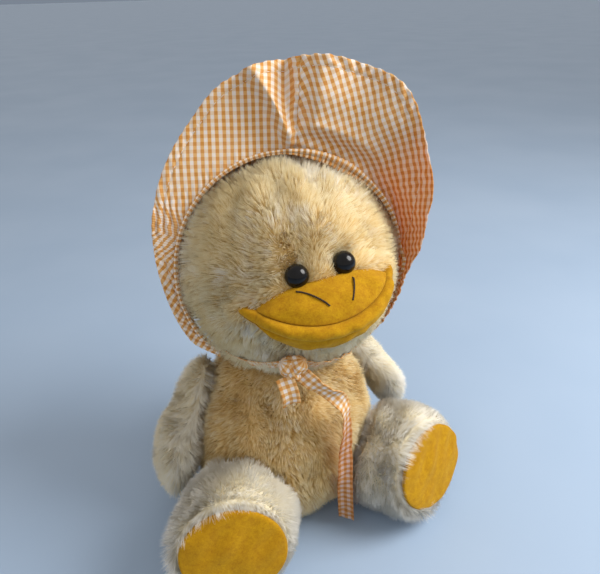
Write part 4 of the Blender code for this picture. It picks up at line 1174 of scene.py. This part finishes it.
def brim_folds(angle, t, points):
    """The small relief of the brim's cloth: gathers, puckers, hem, seam and wrinkles."""
    degrees = np.degrees(angle)
    width = brim_width(angle)
    inner = t * width
    outer = (1.0 - t) * width
    length = angle * (SEAM_RADIUS + inner)

    def ripple(place, period, wander=0.0):
        return np.sin(2 * math.pi * place / period + wander)

    relief = 0.0009 * drift(points, 0.045, 41) * smooth(inner / 0.02)
    gather = ripple(length, GATHER_PERIOD, 1.5 * drift(points, 0.02, 42))
    relief += 0.0005 * gather * bell(inner / 0.009)
    pucker = ripple(length, PUCKER_PERIOD, 2.0 * drift(points, 0.03, 43))
    busy = 0.35 + 1.0 * bell((degrees - 26.0) / 15.0) + 0.3 * bell((degrees + 70.0) / 14.0)
    relief += 0.0008 * busy * pucker * bell((outer - 0.004) / 0.008)
    relief -= 0.0006 * bell((outer - HEM_WIDTH) / 0.0009)
    relief += 0.0003 * smooth((HEM_WIDTH - outer) / 0.001)
    across = (angle - CENTRE_SEAM) * (SEAM_RADIUS + inner)
    relief -= 0.0011 * bell(across / 0.0011)
    relief += 0.0006 * bell((across - 0.0028) / 0.002) + 0.0004 * bell((across + 0.0028) / 0.002)
    relief += 0.0005 * ripple(inner, SEAM_PUCKER_PERIOD) * bell(across / 0.006)
    crumple = ripple(0.8 * length - inner, CRUMPLE_PERIOD, 1.2 * drift(points, 0.02, 44))
    relief += 0.0011 * crumple * bell((degrees + 66.0) / 11.0) * smooth(t / 0.5)
    slant = ripple(length + 1.6 * inner, SLANT_PERIOD, drift(points, 0.03, 45))
    return relief + 0.0003 * slant * bell((degrees - 62.0) / 18.0)


def cloth_places(points, angle, left):
    """Places on the flat cloth for the brim, whose two panels were cut on different grains."""
    step = np.linalg.norm(np.diff(points, axis=0), axis=-1)
    reach = SEAM_RADIUS + np.concatenate([np.zeros((1, points.shape[1])), np.cumsum(step, axis=0)])
    degrees = np.degrees(angle)
    if left:
        grain = math.radians(2.0) + math.radians(38.0) * smooth((-degrees - 58.0) / 26.0)
        shift = 0.0
    else:
        grain = math.radians(-17.0) * np.ones_like(degrees)
        shift = CHECK * 0.5
    turn = angle - grain
    return np.stack([reach * np.sin(turn) + shift, reach * np.cos(turn) + shift], -1)


def build_brim(look, stitch_look):
    """The wide brim: two panels of cloth, seamed at the top, hemmed and stitched all round."""
    angle = np.linspace(-BRIM_END, BRIM_END, CLOTH_COLUMNS)[None, :]
    t = np.linspace(0.0, 1.0, BRIM_ROWS)[:, None]
    width = brim_width(angle)
    scallop = 1.0 - 0.010 * (0.5 + 0.5 * np.sin(angle * SEAM_RADIUS * 2 * 2 * math.pi / 0.009)) * t
    radius = SEAM_RADIUS + width * t * scallop
    points = bonnet_point(angle, radius, brim_forward(angle, t))
    normal = unit(np.cross(np.gradient(points, axis=1), np.gradient(points, axis=0)))
    normal *= np.sign(-normal[..., 1:2])
    angles, shares = np.broadcast_arrays(angle, t)
    points = points + brim_folds(angles, shares, points)[..., None] * normal
    faces = grid_faces(BRIM_ROWS, CLOTH_COLUMNS)
    left, right = [cloth_places(points, angles, is_left).reshape(-1, 2) for is_left in (True, False)]
    on_left = angles.ravel()[faces].mean(1) < CENTRE_SEAM
    cloth = np.where(on_left[:, None, None], left[faces], right[faces])
    piece = add_piece("brim_cloth", moved(BONNET_FRAME, points), faces, look, "head", cloth)
    # The brim's right panel lets more light through as painted shade, a deeper orange
    mark_painted_shade(piece, 0.32 * smooth((np.degrees(angles.ravel()) - 32.0) / 22.0))
    thicken(piece, BRIM_THICKNESS)
    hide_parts("bonnet_brim")
    stitches = build_stitches(points, normal, width, stitch_look)


def build_stitches(points, normal, width, look):
    """The line of stitches along the hem, each a short thread that dips at its ends."""
    rows, columns = points.shape[:2]
    share = np.clip(1.0 - HEM_WIDTH / width[0], 0.3, 1.0)
    row = share * (rows - 1)
    low = np.floor(row).astype(int)
    part = (row - low)[:, None]
    high = np.minimum(low + 1, rows - 1)
    number = np.arange(columns)
    line = points[low, number] * (1.0 - part) + points[high, number] * part
    line = line + normal[low, number] * (BRIM_THICKNESS / 2)
    length = lengths(line)
    dip = np.sin(np.linspace(0.0, math.pi, 6)) * STITCH_RADIUS * 1.4
    all_points = []
    faces = []
    for k in range(int(length[-1] / (STITCH_LENGTH * STITCH_PITCH_SHARE))):
        start = k * STITCH_LENGTH * STITCH_PITCH_SHARE
        places = start + STITCH_LENGTH * np.linspace(0.0, 1.0, 6)
        path = np.stack([np.interp(places, length, line[:, i]) for i in range(3)], -1)
        up = normal[-3, np.searchsorted(length, start) % columns]
        rings = tube(path + dip[:, None] * up, STITCH_RADIUS, 6)
        offset = len(all_points) * rings.size // 3
        faces += [[i + offset for i in face] for face in closed_rings(rings)]
        all_points.append(rings.reshape(-1, 3))
    return add_piece("hem_stitches", moved(BONNET_FRAME, np.concatenate(all_points)), faces, look, "head")


def crown_grid(angle, t):
    """Points of the crown's cloth, t from the brim seam to the middle of the back."""
    turn = (angle + math.pi) % (2 * math.pi) - math.pi
    edge = SEAM_RADIUS + CROWN_THICKNESS + 0.0006
    closing = np.clip((t - CROWN_SHOULDER_SHARE) / (1.0 - CROWN_SHOULDER_SHARE), 0.0, 1.0)
    shoulder = edge + CROWN_BULGE * CROWN_PROFILE_SHARES[-1][1]
    radius = np.where(t < CROWN_SHOULDER_SHARE, edge + CROWN_BULGE * along(CROWN_PROFILE_SHARES, t),
                      shoulder * np.maximum(np.cos(math.pi / 2 * closing), 0.0) ** 0.85)
    swell = np.maximum(np.sin(math.pi * np.minimum(t * 1.4, 1.0)), 0.0) ** 0.6
    radius = radius + CROWN_PLEAT * np.cos(CROWN_PLEATS * angle) * swell
    seam = seam_forward(turn) * (1.0 - t) + SEAM_FORWARD * t
    forward = seam - 0.0016 - CROWN_DEPTH * np.sin(math.pi / 2 * t)
    return bonnet_point(angle, radius, forward)


def build_crown(look):
    """The puffed crown, gathered into the seam in many small pleats and ending level at the nape."""
    angle = (2 * math.pi * np.arange(CLOTH_COLUMNS) / CLOTH_COLUMNS)[None, :]
    t = (np.linspace(0.0, 1.0, CROWN_ROWS) ** 0.9 * CROWN_CLOSE_SHARE)[:, None]
    points = crown_grid(angle, t)
    outward = unit(points - np.array((0.0, 0.02, 0.0)))
    arc = angle * SEAM_RADIUS
    gather = np.sin(2 * math.pi * arc / 0.0082 + 1.4 * drift(points, 0.03, 51))
    relief = 0.0012 * gather * bell((t - 0.08) / 0.10) * smooth(t / 0.05)
    relief += 0.0009 * drift(points, 0.05, 53) * smooth(t / 0.2)
    points = points + relief[..., None] * outward
    faces = grid_faces(CROWN_ROWS, CLOTH_COLUMNS, closed=True)
    step = np.linalg.norm(np.diff(points, axis=0), axis=-1).mean(1)
    reach = np.concatenate([[0.0], np.cumsum(step)])[:, None]
    inward = 1 - reach / reach[-1]
    flat = stacked(0.19 * np.sin(angle) * inward, 0.19 * np.cos(angle) * inward).reshape(-1, 2)
    world = moved(BONNET_FRAME, points)
    nape = NAPE_HEIGHT + 0.0006
    faces = faces[(world[..., 2].reshape(-1)[faces] > nape).any(1)]
    world[..., 2] = np.maximum(world[..., 2], nape)
    used, number = np.unique(faces, return_inverse=True)
    piece = add_piece("crown_cloth", world.reshape(-1, 3)[used], number.reshape(faces.shape), look, "head",
                      flat[faces])
    thicken(piece, CROWN_THICKNESS)
    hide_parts("bonnet_crown")


def build_binding(look):
    """The gathered binding over the seam: a puffy roll with pleats and a small frill to the face."""
    angle = np.linspace(-BINDING_END, BINDING_END, 900)
    reach = np.minimum(2.6 * BINDING_RADIUS / brim_width(angle), 0.8)
    proud = np.max([brim_forward(angle, reach * share) for share in (0.0, 0.5, 1.0)], axis=0)
    centre = bonnet_point(angle, SEAM_RADIUS + BINDING_RADIUS, proud + BINDING_RADIUS + 0.0011)
    outward = unit(bonnet_point(angle, 1.0, 0.0))
    ahead = np.array((0.0, -1.0, 0.0))
    arc = angle * SEAM_RADIUS
    degrees = np.degrees(angle)
    gathered = bell((degrees - 27.0) / 22.0)
    full = 0.42 + 0.58 * gathered - 0.10 * smooth((degrees - 84.0) / 14.0)
    pleat = np.sin(2 * math.pi * arc / 0.0034 + 1.3 * drift(centre, 0.012, 61)) * (0.12 + 0.88 * gathered)
    rings = []
    for k in range(13):
        a = math.radians(-95.0 + 205.0 * k / 12)
        radius = BINDING_RADIUS * full * (1.0 + 0.26 * pleat * math.cos(a / 2))
        radius = radius * (1.0 + 0.10 * drift(centre, 0.02, 62))
        rings.append(centre - 0.8 * (BINDING_RADIUS * (1.0 - full))[:, None] * ahead
                     + radius[:, None] * (math.sin(a) * outward + math.cos(a) * ahead))
    frill = rings[0]
    reach = (0.0008 + 0.0026 * gathered + 0.0009 * np.abs(pleat))[:, None]
    lip = frill - reach * outward + (0.0012 * pleat)[:, None] * ahead
    rings = np.array([lip, (lip + frill) / 2 + 0.0004 * ahead] + rings)
    around = np.linspace(0.0, 0.014, len(rings))[:, None]
    piece = add_cloth("binding_frill", moved(BONNET_FRAME, rings), stacked(arc * 1.35, around), look, "head",
                      BINDING_THICKNESS)
    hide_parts("bonnet_binding")


# The ties

def strip(name, path, across, width, look, body, seed, curl=0.12, slant=0.0):
    """A flat tie along a path: hemmed edges, a slight curl, small wrinkles and a slanted end."""
    w = np.linspace(-1.0, 1.0, STRIP_ROWS)[:, None]
    tangents = unit(np.gradient(path, axis=0))
    across = unit(across - (across * tangents).sum(-1)[:, None] * tangents)
    normal = np.cross(tangents, across)
    half = np.broadcast_to(width, len(path)) / 2
    last = smooth((np.arange(len(path)) / (len(path) - 1) - 0.6) / 0.4)
    points = path + (w * half)[..., None] * across + (slant * w * half * last)[..., None] * tangents
    bend = curl * half * (w**2 - 0.4)
    ridge = 0.00022 * smooth((np.abs(w) - 0.72) / 0.08)
    wrinkle = 0.00035 * drift(points, 0.010, seed)
    points = points + (bend + ridge + wrinkle)[..., None] * normal
    places = stacked(lengths(path), w * half + CHECK * 0.25)
    return add_cloth(name, points, places, look, body, TIE_THICKNESS)


def tail_path(table, start, sizes, steps):
    """A hanging tie's middle line from its table of shares, sideways, forward and down."""
    swing, reach, drop = [size * row for size, row in zip(sizes, run_through(table, steps))]
    return np.array(start) + np.stack([swing, -reach, -drop], -1)


def build_tails(look):
    """The long and the short loose end of the tie."""
    knot = knot_centre()
    for name, (table, turns, sizes, offset, count, slant) in TAILS.items():
        start = knot + Vector((KNOT_WIDTH * offset[0], KNOT_DEPTH * offset[1], KNOT_HEIGHT * offset[2]))
        steps = np.linspace(0.0, 1.0, count)
        turn = TAIL_TURN * along(turns, steps)
        across = stacked(np.cos(turn), np.sin(turn), 0.0)
        path = tail_path(table, start, sizes, steps)
        piece = strip("tie_end_" + name, path, across, TIE_WIDTH, look, None, 71, slant=slant)
        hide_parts("tie_tail_" + name)
        if name == "long":
            # The long tie's lower end lets more light through as painted shade, a deeper orange
            mark_painted_shade(piece, np.tile(0.45 * smooth((steps - 0.45) / 0.2), STRIP_ROWS))
            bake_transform(piece)
        else:
            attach(piece, "head")


def build_straps(look):
    """The two straps from the brim's ends along the jaw to the knot."""
    to_head = Matrix.Translation(-HEAD_CENTRE)
    goal = unit(np.array(to_head @ knot_centre()))
    half = np.array((HEAD_WIDTH, HEAD_DEPTH, HEAD_HEIGHT)) / 2
    for name, side in SIDES.items():
        angle = np.array(side * BRIM_END)
        place = bonnet_point(angle, SEAM_RADIUS + 0.55 * brim_width(angle), brim_forward(angle, 0.55))
        start = unit(np.array(to_head @ BONNET_FRAME @ Vector(place)))
        between = math.acos(float(start @ goal))
        t = np.linspace(0.0, 0.97, 60)[:, None]
        rays = (np.sin((1.0 - t) * between) * start + np.sin(t * between) * goal) / math.sin(between)
        reach = 1.0 / np.linalg.norm(rays / half, axis=1)
        path = np.array(HEAD_CENTRE) + rays * (reach + 0.0012)[:, None]
        across = np.cross(rays, np.gradient(rays, axis=0))
        width = TIE_WIDTH * (1.0 - 0.35 * t[:, 0])
        piece = strip("jaw_tie_" + name, path, across, width, look, "head", 72, curl=0.05)
        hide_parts("tie_strap_" + name)


def knot_band(name, place, tilt, size, width, look):
    """The pleated wrap of the knot: a closed band round it, tilted."""
    a = (2 * math.pi * np.arange(140) / 140)[None, :]
    w = np.linspace(-1.0, 1.0, 25)[:, None]
    pleat = 0.00055 * np.sin(6.5 * w + 0.8 * np.sin(a))
    hem = 0.0003 * smooth((np.abs(w) - 0.80) / 0.08)
    round_off = 1.0 - 0.42 * w**4
    y = (KNOT_DEPTH * size[0] * round_off + pleat + hem) * np.cos(a)
    z = (KNOT_HEIGHT * size[1] * round_off + pleat + hem) * np.sin(a)
    x = w * width / 2 * (1.0 + 0.25 * np.cos(a)) + 0.0016 * np.sin(a + 0.5)
    band = moved(place @ Matrix.Rotation(tilt, 4, "Y"), stacked(x, y, z))
    return add_cloth(name, band, stacked(w * width / 2, a * 0.0075), look, "head", KNOT_THICKNESS, True)


def knot_lobe(name, place, turn, tilt, shift, shares, look):
    """One puffed turn of the knot: a closed, folded lobe, turned and tilted."""
    length, depth, height = np.array((KNOT_WIDTH, KNOT_DEPTH, KNOT_HEIGHT)) * shares
    u = (2 * math.pi * np.arange(120) / 120)[None, :]
    v = np.linspace(-1.0, 1.0, 41)[:, None]
    body = np.sqrt(np.maximum(1.0 - np.abs(v) ** 2.6, 0.0)) + 0.03
    folds = 1.0 + 0.10 * np.sin(4.0 * u + 2.6 * v) + 0.05 * np.sin(9.0 * u - 3.0 * v)
    folds = folds - 0.16 * np.exp(-((np.sin(u / 2 + 0.6 * v)) / 0.10) ** 2)
    rings = stacked(v * length + shift, body * folds * depth * np.cos(u), body * folds * height * np.sin(u))
    lobe_frame = (place @ Matrix.Rotation(math.radians(turn), 4, "Z")
                  @ Matrix.Rotation(math.radians(tilt), 4, "Y"))
    places = stacked(v * length * 1.2, u * 0.0072)
    return add_cloth(name, moved(lobe_frame, rings), places, look, "head", closed=True)


def build_knot(look):
    """The pulled knot: two puffed turns of the tie and a tight pleated wrap between them."""
    place = Matrix.Translation(knot_centre()) @ Matrix.Rotation(KNOT_TURN, 4, "Z")
    core = knot_lobe("tie_knot_core", place, 0.0, -8.0, 0.0, (0.44, 0.36, 0.36), look)
    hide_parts("tie_knot")
    knot_lobe("tie_knot_turn", place, 20.0, 38.0, -0.0046, (0.27, 0.42, 0.34), look)
    knot_lobe("tie_knot_fold", place, -20.0, -44.0, 0.0048, (0.30, 0.44, 0.36), look)
    knot_band("tie_knot_wrap", place, math.radians(-30.0), (0.52, 0.50), 0.0086, look)


# Surroundings

def build_camera():
    """The camera at the photograph's place."""
    right = Vector((math.cos(CAMERA_AZIMUTH), math.sin(CAMERA_AZIMUTH), 0.0))
    back = direction(CAMERA_AZIMUTH, CAMERA_ELEVATION)
    up = back.cross(right)
    side = math.cos(CAMERA_ROLL) * right + math.sin(CAMERA_ROLL) * up
    over = math.cos(CAMERA_ROLL) * up - math.sin(CAMERA_ROLL) * right
    data = bpy.data.cameras.new("camera")
    data.sensor_width = SENSOR_WIDTH_MM
    data.lens = FOCAL_PIXELS / PICTURE_WIDTH_PIXELS * SENSOR_WIDTH_MM
    data.clip_start = 0.01
    camera = add_object("camera", data)
    camera.matrix_world = frame_from(side, over, back, CAMERA_PLACE)
    bpy.context.scene.camera = camera


def add_lamp(name, azimuth, elevation, distance, size, watts, tint):
    """A soft round lamp that looks at the duckling from a direction."""
    way = direction(math.radians(azimuth), math.radians(elevation))
    data = bpy.data.lights.new(name, "AREA")
    data.shape = "DISK"
    data.size = size
    data.energy = watts
    data.color = tint
    lamp = add_object(name, data)
    lamp.location = Vector((0.0, 0.0, LAMP_AIM_HEIGHT)) + distance * way
    lamp.rotation_euler = way.to_track_quat("Z", "Y").to_euler()
    return lamp


def build_room():
    """A pale floor that runs far out, plain soft lamps and a pale world."""
    scene = bpy.context.scene
    scene.view_settings.view_transform = "Standard"
    mesh = bpy.data.meshes.new("floor")
    corners = [(x * FLOOR_REACH, y * FLOOR_REACH, 0.0) for x, y in ((-1, -1), (1, -1), (1, 1), (-1, 1))]
    mesh.from_pydata(corners, [], [(0, 1, 2, 3)])
    mesh.materials.append(floor_material())
    floor = add_object("floor", mesh)
    floor.location.z = CAD_BOX[0][2] - 0.0002
    world = bpy.data.worlds.new("soft_sky")
    world.use_nodes = True
    tree = world.node_tree
    sky = tree.nodes["Background"]
    set_inputs(sky, {"Color": SKY_LIGHT, "Strength": SKY_STRENGTH})
    seen = add_node(tree, "Background", {"Color": SKY_SEEN})
    ray = add_node(tree, "LightPath").outputs["Is Camera Ray"]
    both = add_node(tree, "MixShader", {0: ray, 1: sky.outputs[0], 2: seen.outputs[0]})
    set_inputs(tree.nodes["World Output"], {"Surface": both.outputs[0]})
    scene.world = world
    add_lamp("window", *WINDOW_LAMP)
    add_lamp("fill", *FILL_LAMP).visible_glossy = False


def build_duck():
    """Every visible piece of the toy."""
    # The backings are darker than the pile, partly as painted shade between the strands
    cream_skin = skin_material("cream_backing_and_shade", (200, 168, 105), (226, 198, 140))
    pale_skin = skin_material("pale_backing_and_shade", (228, 216, 184), (243, 234, 210))
    cream, golden_and_shade, wing, pale = [fur_material(name, colours) for name, colours in PILE_COLOURS.items()]
    felt = felt_material("mustard_felt_matted", colour(152, 100, 5), colour(190, 144, 15))
    check, tie_check = [gingham_material(name, colours) for name, colours in CLOTH_COLOURS.items()]
    build_head_fur(cream_skin, cream)
    # The torso gets the deeper golden pile, partly painted shade under the head
    build_torso_fur(cream_skin, golden_and_shade)
    build_tail_fur(cream_skin, cream)
    for side in SIDES:
        build_wing_fur(side, pale_skin, wing)
    for side in SIDES:
        build_leg_fur(side, pale_skin, pale)
    build_pad(felt)
    build_bowl(felt)
    build_nostrils(thread_material())
    build_eyes(eye_material())
    build_soles(felt)
    build_brim(check, stitch_material())
    build_crown(check)
    build_binding(check)
    build_straps(tie_check)
    build_knot(tie_check)
    build_tails(tie_check)
    washer = washer_material()
    for side in SIDES:
        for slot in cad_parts["eye_washer_" + side].material_slots:
            slot.material = washer


build_camera()
build_room()
build_duck()
